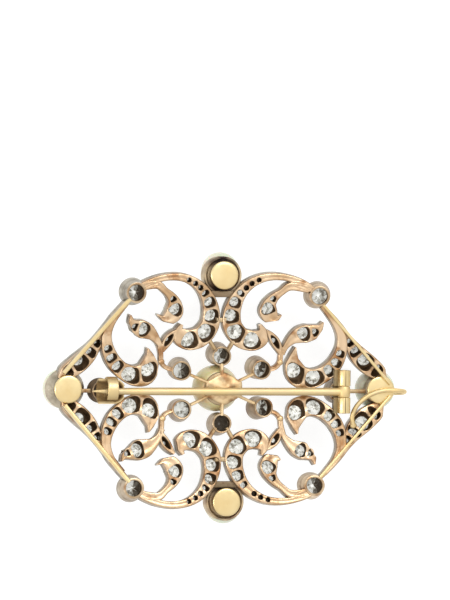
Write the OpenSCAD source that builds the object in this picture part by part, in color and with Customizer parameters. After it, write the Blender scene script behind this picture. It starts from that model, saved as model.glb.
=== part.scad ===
// Pierced antique brooch with five pearls, lying face down on its four outer pearls.
// X runs along the pin, towards the hinge. Z points up, away from the face.
// Each quarter is drawn once, for x > 0 and y > 0, and laid out four times.

/* [Pearls] */
// Diameter of the left and right pearls
end_pearl_d = 5.0; // [4.8:0.1:5.2]
// Diameter of the top pearl
top_pearl_d = 4.7; // [4.5:0.1:4.9]
// Diameter of the bottom pearl
bottom_pearl_d = 4.6; // [4.4:0.1:4.8]
// Diameter of the centre pearl
centre_pearl_d = 5.8; // [5.4:0.1:6.0]
// Height at which the back of the centre pearl is cut flat
centre_pearl_cut = 5.0; // [4.6:0.1:5.1]
// Room between a pearl or a stone and the metal round it
seat_gap = 0.04; // [0.03:0.01:0.06]

/* [Cups] */
// Distance from the middle to the left cup
left_cup_x = 19.2; // [18.8:0.1:19.6]
// Distance from the middle to the right cup
right_cup_x = 20.45; // [20.0:0.1:20.8]
// Distance from the middle to the top cup
top_cup_y = 14.1; // [13.9:0.1:14.4]
// Distance from the middle to the bottom cup
bottom_cup_y = 13.85; // [13.6:0.1:14.1]
// Radius of the round disc on the back of a cup
disc_r = 1.74; // [1.5:0.02:1.9]
// Thickness of that disc
disc_t = 0.5; // [0.3:0.05:0.7]
// Thickness of the cup round its pearl
cup_wall = 0.2; // [0.15:0.01:0.3]
// Height of the cup's rim over the middle of its pearl
cup_rim = 1.1; // [0.8:0.05:1.3]
// Outer radius of the ring round the top and bottom cups
ring_r = 2.36; // [2.3:0.02:2.5]

/* [Plates] */
// Height of the plates' backs over the table, at the middle of the brooch
plate_z = 4.95; // [4.8:0.05:5.2]
// Full thickness of a plate
plate_t = 1.9; // [1.5:0.1:2.2]
// Thickness of the gold layer on the back of a plate
gold_t = 0.95; // [0.7:0.05:1.1]
// Slope of each plate up to the top and bottom edges, in degrees
rise_y = 6; // [3:0.5:7]
// Slope of each plate up to the left and right ends, in degrees
rise_x = 1.7; // [0:0.1:2.5]
// Metal left between a window and the edge of its plate
rim = 0.26; // [0.22:0.02:0.4]
// Metal left between two windows
bridge = 0.34; // [0.28:0.02:0.4]
// How far the long end leaves lie below the plates' backs
leaf_drop = 0.6; // [0.4:0.1:0.9]
// Thickness of the long end leaves
leaf_t = 2.1; // [1.8:0.1:2.3]

/* [Collets] */
// Height of a corner collet
corner_h = 2.3; // [2.0:0.1:2.6]
// Radius of a corner collet at its back
corner_back_r = 1.3; // [1.2:0.02:1.4]
// Radius of a corner collet at its front
corner_front_r = 1.72; // [1.6:0.02:1.85]
// Height of an inner collet
inner_h = 2.75; // [2.4:0.05:2.9]
// Radius of an inner collet at its back
inner_back_r = 1.22; // [1.16:0.02:1.3]
// Radius of an inner collet at its front
inner_front_r = 1.46; // [1.38:0.02:1.5]
// Radius of the round opening in the back of a collet
collet_bore_r = 0.98; // [0.9:0.02:1.02]

/* [Pin] */
// Height of the pin's axis over the table
pin_z = 6.4; // [6.3:0.05:6.6]
// Distance of the pin's axis from the middle line
pin_y = -0.2; // [-0.3:0.05:0]
// Radius of the pin stem at its hinge
pin_r = 0.5; // [0.4:0.02:0.55]
// Radius of the straight stretch of the stem where the cloth sits
cloth_r = 0.48; // [0.38:0.02:0.53]
// Length of that stretch
cloth_len = 5.2; // [4:0.2:5.6]
// Distance from the middle to the hinge's axis
hinge_x = 15.5; // [15.3:0.1:15.8]
// Distance from the middle to the pin's point
point_x = 16.4; // [16.0:0.1:16.8]
// Outer radius of the hinge's knuckles
knuckle_r = 0.78; // [0.7:0.02:0.85]
// Radius of the hinge's rivet
rivet_r = 0.3; // [0.25:0.01:0.35]
// Room between the rivet and the pin's knuckle, and at its two ends
hinge_gap = 0.04; // [0.03:0.01:0.06]

/* [Catch] */
// Distance from the middle to the right end of the catch's cradle
catch_x = 12.15; // [12.0:0.05:12.5]
// Length of the cradle
catch_len = 3.5; // [3.0:0.1:3.8]
// Width of the hook that bends over the pin
hook_w = 1.35; // [1.0:0.05:1.5]
// Outer radius of the cradle, of its rounded end and of the hook
catch_r = 1.55; // [1.4:0.05:1.7]
// Thickness of the cradle and the hook
catch_t = 0.34; // [0.3:0.02:0.4]

/* [Hidden] */

gold = [0.86, 0.68, 0.48];
pale_gold = [0.92, 0.82, 0.6];
stone_white = [0.85, 0.87, 0.88];
pearl_cream = [0.86, 0.85, 0.78];

// The whole brooch is set so that the middle of its box is at the origin.
shift = [-1.05, -0.13, 0];

// Width and height of the thin wires, and the radius of the eye's wire.
knife_w = 0.32;
knife_h = 0.7;
eye_wire_r = 0.29;

// Half the length of the room for the pin's knuckle, and the length of each outer knuckle.
inner_half = 0.72;
outer_len = 1.95;
pin_knuckle_r = knuckle_r - 0.04;
// Room round the rivet in the outer knuckles, which hold it.
rivet_fit = 0.01;

// How each quarter of the hand-cut plate differs from the drawing.
// Columns: side x, side y, stretch x, lean x, shift x, stretch y, lean y, shift y.
QUARTERS = [
    [-1, 1, 0.99, -0.02, 0.16, 1.005, 0, -0.09],
    [1, 1, 1.02, 0, -0.12, 1, -0.015, 0],
    [-1, -1, 0.99, -0.01, -0.08, 1.005, -0.005, 0.1],
    [1, -1, 1, 0.03, 0.04, 0.985, 0.015, 0],
];

// Ribbons of the drawing. Columns: x, y, half width.
BIG_SCROLL = [
    [11.3, 12.6, 0.42],
    [10.4, 13.25, 0.42],
    [9.2, 13.75, 0.42],
    [7.8, 14.08, 0.42],
    [6.3, 14.14, 0.46],
    [4.9, 13.87, 0.52],
    [3.55, 13.18, 0.62],
    [2.5, 12.15, 0.74],
    [1.75, 10.85, 0.92],
    [1.38, 9.35, 1.08],
    [1.55, 7.8, 1.2],
    [2.6, 6.5, 1.27],
    [4.1, 6.12, 1.25],
    [5.15, 6.5, 0.95],
    [5.3, 7.3, 0.5],
    [4.95, 8.1, 0.2],
];
HOOK = [
    [10.8, 12.7, 0.5],
    [8.6, 12.98, 0.52],
    [7.5, 12.25, 0.42],
    [6.65, 11.5, 0.58],
    [6.15, 10.6, 0.85],
    [6.15, 9.7, 1.12],
    [6.6, 8.95, 0.88],
    [7.4, 8.8, 0.42],
    [8.2, 9.2, 0.08],
];
CRESCENT = [
    [12.3, 10.7, 0.3],
    [13.2, 9.65, 0.36],
    [14.1, 8.45, 0.45],
    [14.68, 7.1, 0.58],
    [14.7, 5.9, 0.68],
    [14.35, 4.6, 0.84],
    [13.6, 3.35, 0.95],
    [12.45, 2.35, 1.02],
    [11.0, 1.74, 1.24],
    [9.55, 1.95, 1.4],
    [8.85, 3.0, 1.02],
    [9.0, 4.1, 0.55],
    [9.3, 5.1, 0.08],
];
FLAME = [
    [7.45, 4.75, 0.3],
    [7.95, 5.75, 0.36],
    [8.7, 6.6, 0.62],
    [9.6, 7.2, 0.95],
    [10.5, 7.4, 1.12],
    [11.4, 7.55, 0.85],
    [12.1, 8.1, 0.45],
    [12.55, 8.9, 0.08],
];
SMALL_LEAF = [
    [5.7, 7.4, 0.16],
    [6.15, 6.95, 0.42],
    [6.7, 6.25, 0.6],
    [7.15, 5.5, 0.5],
    [7.5, 4.75, 0.25],
];
END_LEAF = [
    [13.0, 10.3, 0.3],
    [14.0, 9.2, 0.4],
    [14.9, 8.1, 0.48],
    [15.7, 6.85, 0.66],
    [16.5, 5.6, 0.98],
    [17.4, 4.4, 1.34],
    [18.6, 3.25, 1.45],
    [19.8, 2.3, 1.2],
    [20.4, 1.4, 0.6],
];
// The thin stem under the leaf and the flame.
STEM = [
    [7.8, 5.4, 0.34],
    [7.6, 4.4, 0.3],
    [7.5, 3.5, 0.28],
    [7.0, 2.85, 0.27],
    [6.1, 2.5, 0.27],
];

// Windows cut through a ribbon, and the stone in each. A window lies between two
// stations of its ribbon, which count the rows of its table from 0.
// Columns: from, to, radius of the stone, shift across the ribbon, 1 if it is round.
BIG_SCROLL_WINDOWS = [
    [4.98, 5.5, 0.27, 0.05, 1],
    [5.62, 6.14, 0.29, 0.05, 1],
    [6.22, 6.74, 0.31, 0.05, 1],
    [6.8, 7.45, 0.38, 0.05, 0],
    [7.5, 8.5, 0.6, 0, 0],
    [8.55, 9.75, 0.74, 0, 0],
    [9.8, 11.15, 0.94, 0, 0],
    [11.2, 12.75, 0.96, 0, 0],
];
HOOK_WINDOWS = [
    [2.85, 3.75, 0.34, 0, 0],
    [3.8, 5.6, 0.82, 0, 0],
];
CRESCENT_WINDOWS = [
    [4.2, 5.05, 0.4, 0, 0],
    [5.1, 5.9, 0.54, 0, 0],
    [5.95, 6.85, 0.62, 0, 0],
    [6.9, 8.5, 0.92, 0, 0],
    [8.55, 10.5, 0.9, 0, 0],
];
FLAME_WINDOWS = [
    [2.7, 4.6, 0.74, 0, 0],
    [4.65, 5.9, 0.38, 0, 0],
];
SMALL_LEAF_WINDOWS = [
    [0.9, 3.3, 0.26, 0, 0],
];
END_LEAF_WINDOWS = [
    [3.2, 4.05, 0.38, 0.1, 0],
    [4.1, 4.95, 0.62, 0.15, 0],
    [5.0, 6.3, 0.9, 0.2, 0],
    [6.35, 7.3, 0.36, 0.5, 0],
];
DRAWING = [
    [BIG_SCROLL, BIG_SCROLL_WINDOWS],
    [HOOK, HOOK_WINDOWS],
    [CRESCENT, CRESCENT_WINDOWS],
    [FLAME, FLAME_WINDOWS],
    [SMALL_LEAF, SMALL_LEAF_WINDOWS],
    [END_LEAF, END_LEAF_WINDOWS],
];
// The row of the drawing with the long end leaf, which lies lower than the others.
end_leaf = 5;

// How the saw strayed from the drawing, for each quarter, a row for each ribbon.
// Columns: x and y at its first row, at its middle and at its last row,
// slide of its windows, slide of its round windows, width.
STRAY = [
    [
        [0, -0.5, -0.15, 0.25, 0.2, 0, 0, 0, 1],
        [0, 0, 0, 0, 0, 0, 0, 0, 1],
        [0, 0, -0.2, 0, 0, 0, 0, 0, 1],
        [0, 0, 0, 0, -0.8, 0.3, 0, 0, 1],
        [0, 0, 0, 0, 0, 0, 0, 0, 1],
        [-0.4, -0.3, -0.7, -0.55, -0.3, -0.2, 0, 0, 0.78],
    ],
    [
        [0, 0, 0, 0, 0, 0, 0, 0, 1],
        [0, 0, 0, 0, -0.7, 0.2, -0.15, 0, 1],
        [0.2, -0.1, 0.8, -0.8, 0.1, 0.3, 0, 0, 1],
        [0.3, -0.25, 0.1, -0.25, 0.2, -0.3, 0, 0, 1],
        [0.1, 0, 0.1, -0.1, 0.1, -0.25, 0, 0, 1],
        [0, 0, 0, 0, 0.2, 0.1, 0, 0, 0.86],
    ],
    [
        [-0.1, -0.3, -0.3, 0.3, 0, -0.2, 0, 0, 1],
        [-0.3, 0.15, 0, 0, 0, -0.1, 0, 0, 1],
        [0.1, 0, 0, 0, 0, 0.05, 0, 0, 1],
        [0.1, 0, 0.1, 0, 0.3, -0.2, 0.5, 0, 1.15],
        [0.4, 0.4, 0.4, 0.3, 0.4, 0.3, 0, 0, 1],
        [-0.5, -0.3, -0.5, -0.4, -0.5, -0.35, 0, 0, 0.78],
    ],
    [
        [0.5, -0.4, 0, 0, 0, 0, 0, -0.5, 1],
        [0, 0, 0, 0, -0.9, -0.5, 0.15, 0, 1],
        [0, 0.1, 0.9, 0, 0.3, 0.3, 0, 0, 1],
        [0, 0, 0, 0, -0.9, 0.3, 0, 0, 1],
        [0, 0, 0, 0, 0, 0, 0, 0, 1],
        [0, 0, 0, 0, 0, 0, 0, 0, 0.95],
    ],
];

// Stones that are nodes of their own. Columns: row of the drawing, row of its windows.
MAIN_STONES = [[0, 5], [0, 6], [0, 7], [2, 3], [3, 0], [5, 2]];
function is_main(k, w) = len([for (m = MAIN_STONES) if (m[0] == k && m[1] == w) 1]) > 0;
SMALL_STONES = [for (k = [0:end_leaf]) for (w = [0:len(DRAWING[k][1]) - 1]) if (!is_main(k, w)) [k, w]];

// Collets. Columns: x, y and height of the back, lean of the front in x and in y in degrees.
CORNER_COLLETS = [
    [-11.0, 11.9, 6.7, -3, 4],
    [12.2, 11.6, 6.7, 4, 4],
    [-11.1, -12.1, 6.7, -1, -3],
    [11.8, -11.8, 6.7, 0, -3],
];
INNER_COLLETS = [
    [-5.0, 2.3, 5.6, 5, 5],
    [5.2, 2.45, 5.6, -4.5, 6],
    [-4.9, -2.45, 5.6, 4, -4],
    [5.5, -2.2, 5.6, -6.5, -2.5],
    [0.1, 4.1, 5.55, -1, 7],
    [0.2, -4.15, 5.55, 1, -4],
];
END_COLLETS = [
    [-14.8, pin_y, 5.4, 0, 0],
    [15.2, pin_y, 5.4, 0, 0],
];
end_h = 2.5;
end_back_r = 1.35;
end_front_r = 1.56;
end_bore_r = 1.15;

// Straight bars from the corner collets to the cups. Columns: x and y of both ends.
BARS = [
    [11.8, 11.2, 19.85, 2.0],
    [12.75, 10.6, 21.6, 0.75],
    [11.7, 11.4, 19.7, 1.95],
    [12.55, 10.85, 21.6, 0.75],
];

// Points of the smooth curve through the rows of a table, by Catmull and Rom's formula.
function curve(a, b, c, d, t) =
    0.5 * (2 * b + (c - a) * t + (2 * a - 5 * b + 4 * c - d) * t * t + (3 * b - a - 3 * c + d) * t * t * t);
function at(rows, s) =
    let (last = len(rows) - 1,
         i = max(0, min(floor(s), last - 1)),
         before = i > 0 ? rows[i - 1] : 2 * rows[0] - rows[1],
         after = i + 2 <= last ? rows[i + 2] : 2 * rows[last] - rows[last - 1])
    curve(before, rows[i], rows[i + 1], after, s - i);
function flat(p) = [p[0], p[1]];
function across(rows, s) =
    let (step = flat(at(rows, s + 0.02)) - flat(at(rows, s - 0.02)))
    [-step[1], step[0]] / norm(step);
function edge(rows, s, side, inset) =
    let (p = at(rows, s))
    flat(p) + side * max(0.02, p[2] - inset) * across(rows, s);
function warp(q, p) =
    [q[2] * p[0] + q[3] * p[1] + q[4], q[5] * p[1] + q[6] * p[0] + q[7]];
function middle(rows, w) =
    let (s = (w[0] + w[1]) / 2)
    flat(at(rows, s)) + w[3] * across(rows, s);

// A ribbon and its windows as the saw strayed in one quarter.
function strayed(rows, m) =
    let (last = len(rows) - 1)
    [for (i = [0:last])
        let (t = i / last, a = (1 - t) * (1 - t), b = 2 * t * (1 - t), c = t * t)
        [rows[i][0] + a * m[0] + b * m[2] + c * m[4],
         rows[i][1] + a * m[1] + b * m[3] + c * m[5],
         rows[i][2] * m[8]]];
function slid(windows, m) =
    [for (w = windows)
        let (by = m[6] + w[4] * m[7])
        [w[0] + by, w[1] + by, w[2] * m[8], w[3], w[4]]];
PLATES = [for (i = [0:3]) [for (k = [0:end_leaf])
    [strayed(DRAWING[k][0], STRAY[i][k]), slid(DRAWING[k][1], STRAY[i][k])]]];

// A stretch of a ribbon, from one station of its table to another.
module ribbon(rows, from, to, inset, steps) {
    stations = [for (i = [0:steps]) from + (to - from) * i / steps];
    polygon(concat(
        [for (s = stations) edge(rows, s, 1, inset)],
        [for (i = [steps:-1:0]) edge(rows, stations[i], -1, inset)]));
}

module outlines(parts) {
    for (plate = parts) {
        ribbon(plate[0], 0, len(plate[0]) - 1, 0, 4 * (len(plate[0]) - 1));
    }
}

// A window with rounded corners. The first cut leaves the bridges, the second rounds.
module window(rows, w) {
    round_r = 0.45 * w[2];
    offset(r = round_r, $fn = 16)
        offset(delta = -bridge / 2 - round_r)
            ribbon(rows, w[0] - 0.02, w[1] + 0.02, rim - bridge / 2, 4);
}

module windows(parts) {
    for (plate = parts) {
        for (w = plate[1]) {
            if (w[4] == 0) {
                window(plate[0], w);
            }
        }
    }
}

// The 2D drawing warped as quarter q of the hand-cut plate.
module as_cut(q) {
    offset(delta = 0)
        multmatrix([[q[2], q[3], 0, q[4]], [q[6], q[5], 0, q[7]], [0, 0, 1, 0], [0, 0, 0, 1]])
            children();
}

// Things drawn for x > 0 and y > 0, laid on the sloping plane of quarter q.
module in_quarter(q) {
    translate(shift)
        mirror([q[0] < 0 ? 1 : 0, 0, 0])
            mirror([0, q[1] < 0 ? 1 : 0, 0])
                translate([0, 0, plate_z])
                    rotate([rise_y, -rise_x, 0])
                        children();
}

// Plates with their windows at the back and the stones' round seats at the front.
// Round windows go straight through.
module plates(q, parts, back, thickness) {
    difference() {
        translate([0, 0, back - thickness]) linear_extrude(thickness) as_cut(q) outlines(parts);
        translate([0, 0, back - gold_t]) linear_extrude(gold_t + 1) as_cut(q) windows(parts);
        for (plate = parts) {
            for (w = plate[1]) {
                p = warp(q, middle(plate[0], w));
                seat_top = w[4] == 1 ? 1 : 0.02 - gold_t;
                translate([p[0], p[1], back - thickness - 1])
                    cylinder(thickness + 1 + seat_top, r = w[2] + seat_gap, $fn = 24);
            }
        }
    }
}

// Places a collet's parts, drawn from z = 0 at its back down to its front.
module at_collet(row) {
    translate(shift + [row[0], row[1], row[2]]) rotate([row[4], -row[3], 0]) children();
}
module collet_body(height, back_r, front_r) {
    translate([0, 0, -height]) cylinder(height, front_r, back_r, $fn = 48);
}
// The bore, which opens to the stone's seat, and the turned edge that holds the stone.
module collet_bore(height, front_r, bore_r) {
    stone_r = front_r - 0.16 + seat_gap;
    cone_from = 0.3;
    cone_h = 1.3;
    translate([0, 0, -height - 0.1]) cylinder(height + 0.4, r = bore_r, $fn = 48);
    translate([0, 0, cone_from - height]) cylinder(cone_h, stone_r, bore_r, $fn = 48);
    translate([0, 0, -height - 0.1]) cylinder(cone_from + 0.101, r = stone_r, $fn = 48);
}
module all_collet_bodies() {
    for (row = CORNER_COLLETS) at_collet(row) collet_body(corner_h, corner_back_r, corner_front_r);
    for (row = INNER_COLLETS) at_collet(row) collet_body(inner_h, inner_back_r, inner_front_r);
    for (row = END_COLLETS) at_collet(row) collet_body(end_h, end_back_r, end_front_r);
}
module all_collet_bores() {
    for (row = CORNER_COLLETS) at_collet(row) collet_bore(corner_h, corner_front_r, collet_bore_r);
    for (row = INNER_COLLETS) at_collet(row) collet_bore(inner_h, inner_front_r, collet_bore_r);
    for (row = END_COLLETS) at_collet(row) collet_bore(end_h, end_front_r, end_bore_r);
}

// A straight thin wire between two points, with its top edge on them.
module wire(a, b, w, h) {
    d = b - a;
    reach = norm(d);
    translate(a)
        rotate([0, -asin(d[2] / reach), atan2(d[1], d[0])])
            translate([0, -w / 2, -h])
                cube([reach, w, h]);
}

module quarter_metal(i) {
    q = QUARTERS[i];
    bar = BARS[i];
    bar_w = 0.54;
    bar_top = 0.25;
    bar_h = leaf_drop + bar_top + 0.1;
    stem_h = 0.95;
    bead_r = 0.38;
    bead_at = warp(q, flat(STEM[2]));
    in_quarter(q) {
        plates(q, [for (k = [0:end_leaf - 1]) PLATES[i][k]], 0, plate_t);
        plates(q, [PLATES[i][end_leaf]], -leaf_drop, leaf_t);
        translate([0, 0, -stem_h]) linear_extrude(stem_h) as_cut(q) outlines([[STEM, []]]);
        translate([bead_at[0], bead_at[1], -stem_h]) cylinder(stem_h, r = bead_r, $fn = 24);
        wire([bar[0], bar[1], bar_top], [bar[2], bar[3], bar_top], bar_w, bar_h);
    }
}

// Cups. Columns: x, y and height of the disc, x and y of the pearl, its diameter, 1 for a ring.
CUPS = [
    [-left_cup_x, 0, 5.65, -left_cup_x - 0.1, 0, end_pearl_d, 0],
    [right_cup_x, 0, 5.65, right_cup_x, 0, end_pearl_d, 0],
    [0.17, top_cup_y, 6.4, 0.5, top_cup_y + 0.5, top_pearl_d, 1],
    [0.73, -bottom_cup_y, 6.4, 1.2, -bottom_cup_y - 0.55, bottom_pearl_d, 1],
];
function pearl_at(row) = shift + [row[3], row[4], row[5] / 2];
// The centre pearl hangs just clear of the table.
centre_pearl_at = shift + [-0.1, 0.1, centre_pearl_d / 2 + 0.05];
module cup(row) {
    pearl_r = row[5] / 2;
    shell_r = pearl_r + cup_wall;
    stalk_from = pearl_r + 1.5;
    stalk_r = 1.35;
    ring_t = 0.28;
    ring_top = row[2] - 1.0;
    ring_from = pearl_r + cup_rim;
    ring_h = ring_top - ring_from;
    translate(pearl_at(row))
        difference() {
            sphere(shell_r, $fn = 64);
            translate([0, 0, cup_rim - 5]) cylinder(5, r = 4, $fn = 48);
        }
    translate(shift + [(row[0] + row[3]) / 2, (row[1] + row[4]) / 2, stalk_from])
        cylinder(row[2] - disc_t - stalk_from + 0.1, r = stalk_r, $fn = 48);
    translate(shift + [row[0], row[1], row[2] - disc_t]) cylinder(disc_t, r = disc_r, $fn = 48);
    if (row[6] == 1) {
        translate(shift + [row[0], row[1], ring_from])
            difference() {
                cylinder(ring_h, r = ring_r, $fn = 64);
                translate([0, 0, -0.1]) cylinder(ring_h + 0.2, r = ring_r - ring_t, $fn = 64);
            }
    }
}

// Room for the pearls in all the metal behind them.
module pearl_seats() {
    for (row = CUPS) translate(pearl_at(row)) sphere(row[5] / 2 + seat_gap, $fn = 64);
    difference() {
        translate(centre_pearl_at) sphere(centre_pearl_d / 2 + seat_gap, $fn = 64);
        translate(shift + [0, 0, centre_pearl_cut + seat_gap]) cylinder(3, r = 4, $fn = 48);
    }
}

// The centre boss, which holds the flat back of the centre pearl. Its back has six corners,
// with a knife-edge wire from each of them to a collet.
module boss() {
    seat_z = centre_pearl_cut + seat_gap;
    seat_t = 0.3;
    seat_front_r = 2.3;
    seat_back_r = 2.1;
    back_z = 5.62;
    back_at = [0.45, 0.1];
    back_reach = [2.45, 2.0];
    corners = [for (a = [25, 90, 155, 205, 270, 335])
        back_at + [back_reach[0] * cos(a), back_reach[1] * sin(a)]];
    wires_from = [0.3, 0.1];
    wire_z = 5.55;
    // Share of the way to a collet at which its wire ends, inside the collet's wall
    wire_reach = 0.8;
    translate(shift) {
        translate([0.12, 0.1, seat_z]) cylinder(seat_t, seat_front_r, seat_back_r, $fn = 48);
        translate([0, 0, seat_z + seat_t / 2]) linear_extrude(back_z - seat_z - seat_t / 2) polygon(corners);
        for (row = INNER_COLLETS) {
            end = wires_from + (flat(row) - wires_from) * wire_reach;
            wire(concat(wires_from, wire_z), concat(end, wire_z), knife_w, knife_h);
        }
    }
}

// Short wires that join the plates to the collets, and the end collets to the cups.
// Columns: x and y of both ends, height of the top, height of the wire.
JOINS = [
    [0.85, 4.7, 1.6, 6.0, 5.55, 0.9],
    [-0.55, 4.7, -1.4, 6.0, 5.55, 0.9],
    [0.85, -4.7, 1.6, -6.0, 5.55, 0.9],
    [-0.55, -4.7, -1.4, -6.0, 5.55, 0.9],
    [-17.9, pin_y, -16.0, pin_y, 4.6, 0.6],
    [16.5, pin_y, 18.9, pin_y, 4.6, 0.6],
];
join_w = 0.5;

// Solder where the left and the right scrolls touch, and where they meet the rings of the
// top and bottom cups. Columns: x, y and z of its lowest corner, its size in x, y and z.
SOLDER = [
    [-0.6, 8.3, 4.45, 1.2, 0.6, 1.2],
    [-0.6, -8.9, 4.45, 1.2, 0.6, 1.2],
    [-1.6, 11.4, 4.9, 3.6, 0.8, 0.75],
    [-1.3, -12.1, 5.1, 3.6, 0.8, 0.55],
];

module joins() {
    translate(shift) {
        for (row = JOINS) wire([row[0], row[1], row[4]], [row[2], row[3], row[4]], join_w, row[5]);
        for (row = SOLDER) translate([row[0], row[1], row[2]]) cube([row[3], row[4], row[5]]);
    }
}

// A plain round bar along Y, on the hinge's axis.
module along_y(y, length, r) {
    translate([0, y, pin_z]) rotate([-90, 0, 0]) cylinder(length, r = r, $fn = 48);
}

// The base of the hinge and its two outer knuckles, bored for the rivet.
module hinge_base() {
    base_z = 4.9;
    base_t = 0.45;
    base_x = -1.15;
    base_w = 1.9;
    cheek_h = pin_z - base_z - 0.35;
    turning_r = knuckle_r + 0.1;
    half_len = inner_half + outer_len;
    translate(shift + [hinge_x, pin_y, 0])
        difference() {
            union() {
                for (y = [-half_len, inner_half]) {
                    translate([base_x, y, base_z]) cube([base_w, outer_len, cheek_h]);
                    along_y(y, outer_len, knuckle_r);
                }
                translate([base_x, -half_len, base_z]) cube([base_w, 2 * half_len, base_t]);
            }
            along_y(-2 * half_len, 4 * half_len, rivet_r + rivet_fit);
            // Turning room for the pin's own knuckle
            along_y(-inner_half, 2 * inner_half, turning_r);
        }
}

// A plain round bar along X.
module along_x(x, length, r) {
    translate([x, 0, 0]) rotate([0, 90, 0]) cylinder(length, r = r, $fn = 64);
}

// The cradle under the pin, open at its left end and rounded at its right end, with a notch
// there for the pin, and the hook that bends over the pin.
module pin_catch() {
    cradle_x = -catch_x - catch_len;
    round_x = -catch_x - catch_r;
    hook_x = -catch_x - 1.2 - hook_w;
    hook_y = 0.25;
    bore_r = catch_r - catch_t;
    rim_z = 0.1;
    foot_z = -1.7;
    foot_t = 0.45;
    foot_x = cradle_x + 0.3;
    foot_half = 1.5;
    notch_half = 0.62;
    notch_z = -0.65;
    mouth_z = -0.9;
    mouth_h = 1.6;
    beyond = 1;
    translate(shift + [0, pin_y, pin_z]) {
        difference() {
            along_x(cradle_x, round_x - cradle_x, catch_r);
            along_x(cradle_x - beyond, catch_len, bore_r);
            translate([cradle_x - beyond, -2 * catch_r, rim_z]) cube([2 * catch_len, 4 * catch_r, catch_r]);
        }
        difference() {
            translate([round_x, 0, foot_z]) cylinder(rim_z - foot_z, r = catch_r, $fn = 64);
            translate([round_x, 0, foot_z + foot_t]) cylinder(rim_z - foot_z, r = bore_r, $fn = 64);
            translate([round_x - 2 * catch_r, -2 * catch_r, foot_z + foot_t])
                cube([2 * catch_r, 4 * catch_r, rim_z - foot_z]);
            translate([round_x, -notch_half, notch_z]) cube([2 * catch_r, 2 * notch_half, 1]);
        }
        translate([foot_x, -foot_half, foot_z]) cube([round_x - foot_x, 2 * foot_half, foot_t]);
        translate([0, hook_y, 0])
            difference() {
                along_x(hook_x, hook_w, catch_r);
                along_x(hook_x - beyond, hook_w + 2 * beyond, bore_r);
                // The mouth through which the pin is sprung
                translate([hook_x - beyond, -2 * catch_r, mouth_z])
                    cube([hook_w + 2 * beyond, 2 * catch_r, mouth_h]);
            }
    }
}

// The wire that runs from the lower end leaf over the right cup and out as an eye.
// Columns: x, y, z.
EYE_PATH = [
    [16.95, -4.4, 5.6],
    [16.75, -3.2, 5.75],
    [17.35, -1.9, 5.85],
    [18.5, -0.85, 5.92],
    [19.8, -0.25, 5.95],
    [21.2, 0.0, 5.95],
    [22.7, -0.08, 5.8],
    [23.55, -0.2, 5.2],
    [23.5, -0.35, 4.4],
    [22.8, -0.4, 3.9],
    [21.8, -0.4, 3.9],
];
module eye_wire() {
    sides = 10;
    per_row = 3;
    steps = per_row * (len(EYE_PATH) - 1);
    across_wire = [0.2, -0.9, 0.4];
    rings = [for (i = [0:steps])
        let (s = i / per_row,
             p = at(EYE_PATH, s),
             d = at(EYE_PATH, s + 0.03) - at(EYE_PATH, s - 0.03),
             u = cross(d, across_wire) / norm(cross(d, across_wire)),
             v = cross(d, u) / norm(d))
        [for (k = [0:sides - 1]) p + eye_wire_r * (cos(360 * k / sides) * u + sin(360 * k / sides) * v)]];
    last = steps * sides;
    translate(shift)
        polyhedron([for (ring = rings) for (p = ring) p], concat(
            [[for (k = [sides - 1:-1:0]) k]],
            [for (i = [0:steps - 1]) for (k = [0:sides - 1]) for (half = [0, 1])
                let (n = (k + 1) % sides)
                half == 0 ? [i * sides + k, i * sides + n, (i + 1) * sides + n]
                          : [i * sides + k, (i + 1) * sides + n, (i + 1) * sides + k]],
            [[for (k = [0:sides - 1]) last + k]]));
}

module openwork() {
    color(gold)
        difference() {
            union() {
                difference() {
                    union() {
                        for (i = [0:3]) quarter_metal(i);
                        all_collet_bodies();
                        boss();
                        joins();
                    }
                    all_collet_bores();
                }
                hinge_base();
                pin_catch();
                eye_wire();
                for (row = CUPS) cup(row);
            }
            pearl_seats();
        }
}

// The tapered pin with its own knuckle.
module pin_stem() {
    knuckle_half = inner_half - hinge_gap;
    cloth_x = -8.2;
    tip_len = 2.2;
    tip_from_r = 0.4;
    tip_r = 0.08;
    // Columns: x, length, radius at its left and at its right end.
    stretches = [
        [-point_x, tip_len, tip_r, tip_from_r],
        [tip_len - point_x, point_x + cloth_x - tip_len, tip_from_r, cloth_r],
        [cloth_x, cloth_len, cloth_r, cloth_r],
        [cloth_x + cloth_len, hinge_x - cloth_x - cloth_len, cloth_r, pin_r],
    ];
    color(pale_gold)
        translate(shift + [0, pin_y, pin_z])
            difference() {
                union() {
                    for (row = stretches) {
                        translate([row[0], 0, 0])
                            rotate([0, 90, 0])
                                cylinder(row[1], row[2], row[3], $fn = 48);
                    }
                    translate([hinge_x, 0, -pin_z]) along_y(-knuckle_half, 2 * knuckle_half, pin_knuckle_r);
                }
                translate([hinge_x, 0, -pin_z]) along_y(-outer_len, 2 * outer_len, rivet_r + hinge_gap);
            }
}

module hinge_rivet() {
    half_len = inner_half + outer_len + 0.05;
    color(pale_gold) translate(shift + [hinge_x, pin_y, 0]) along_y(-half_len, 2 * half_len, rivet_r);
}

module outer_pearl(row) {
    color(pearl_cream) translate(pearl_at(row)) sphere(row[5] / 2, $fn = 64);
}
module pearl_centre() {
    color(pearl_cream)
        difference() {
            translate(centre_pearl_at) sphere(centre_pearl_d / 2, $fn = 64);
            translate(shift + [0, 0, centre_pearl_cut]) cylinder(3, r = 4, $fn = 48);
        }
}

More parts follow.
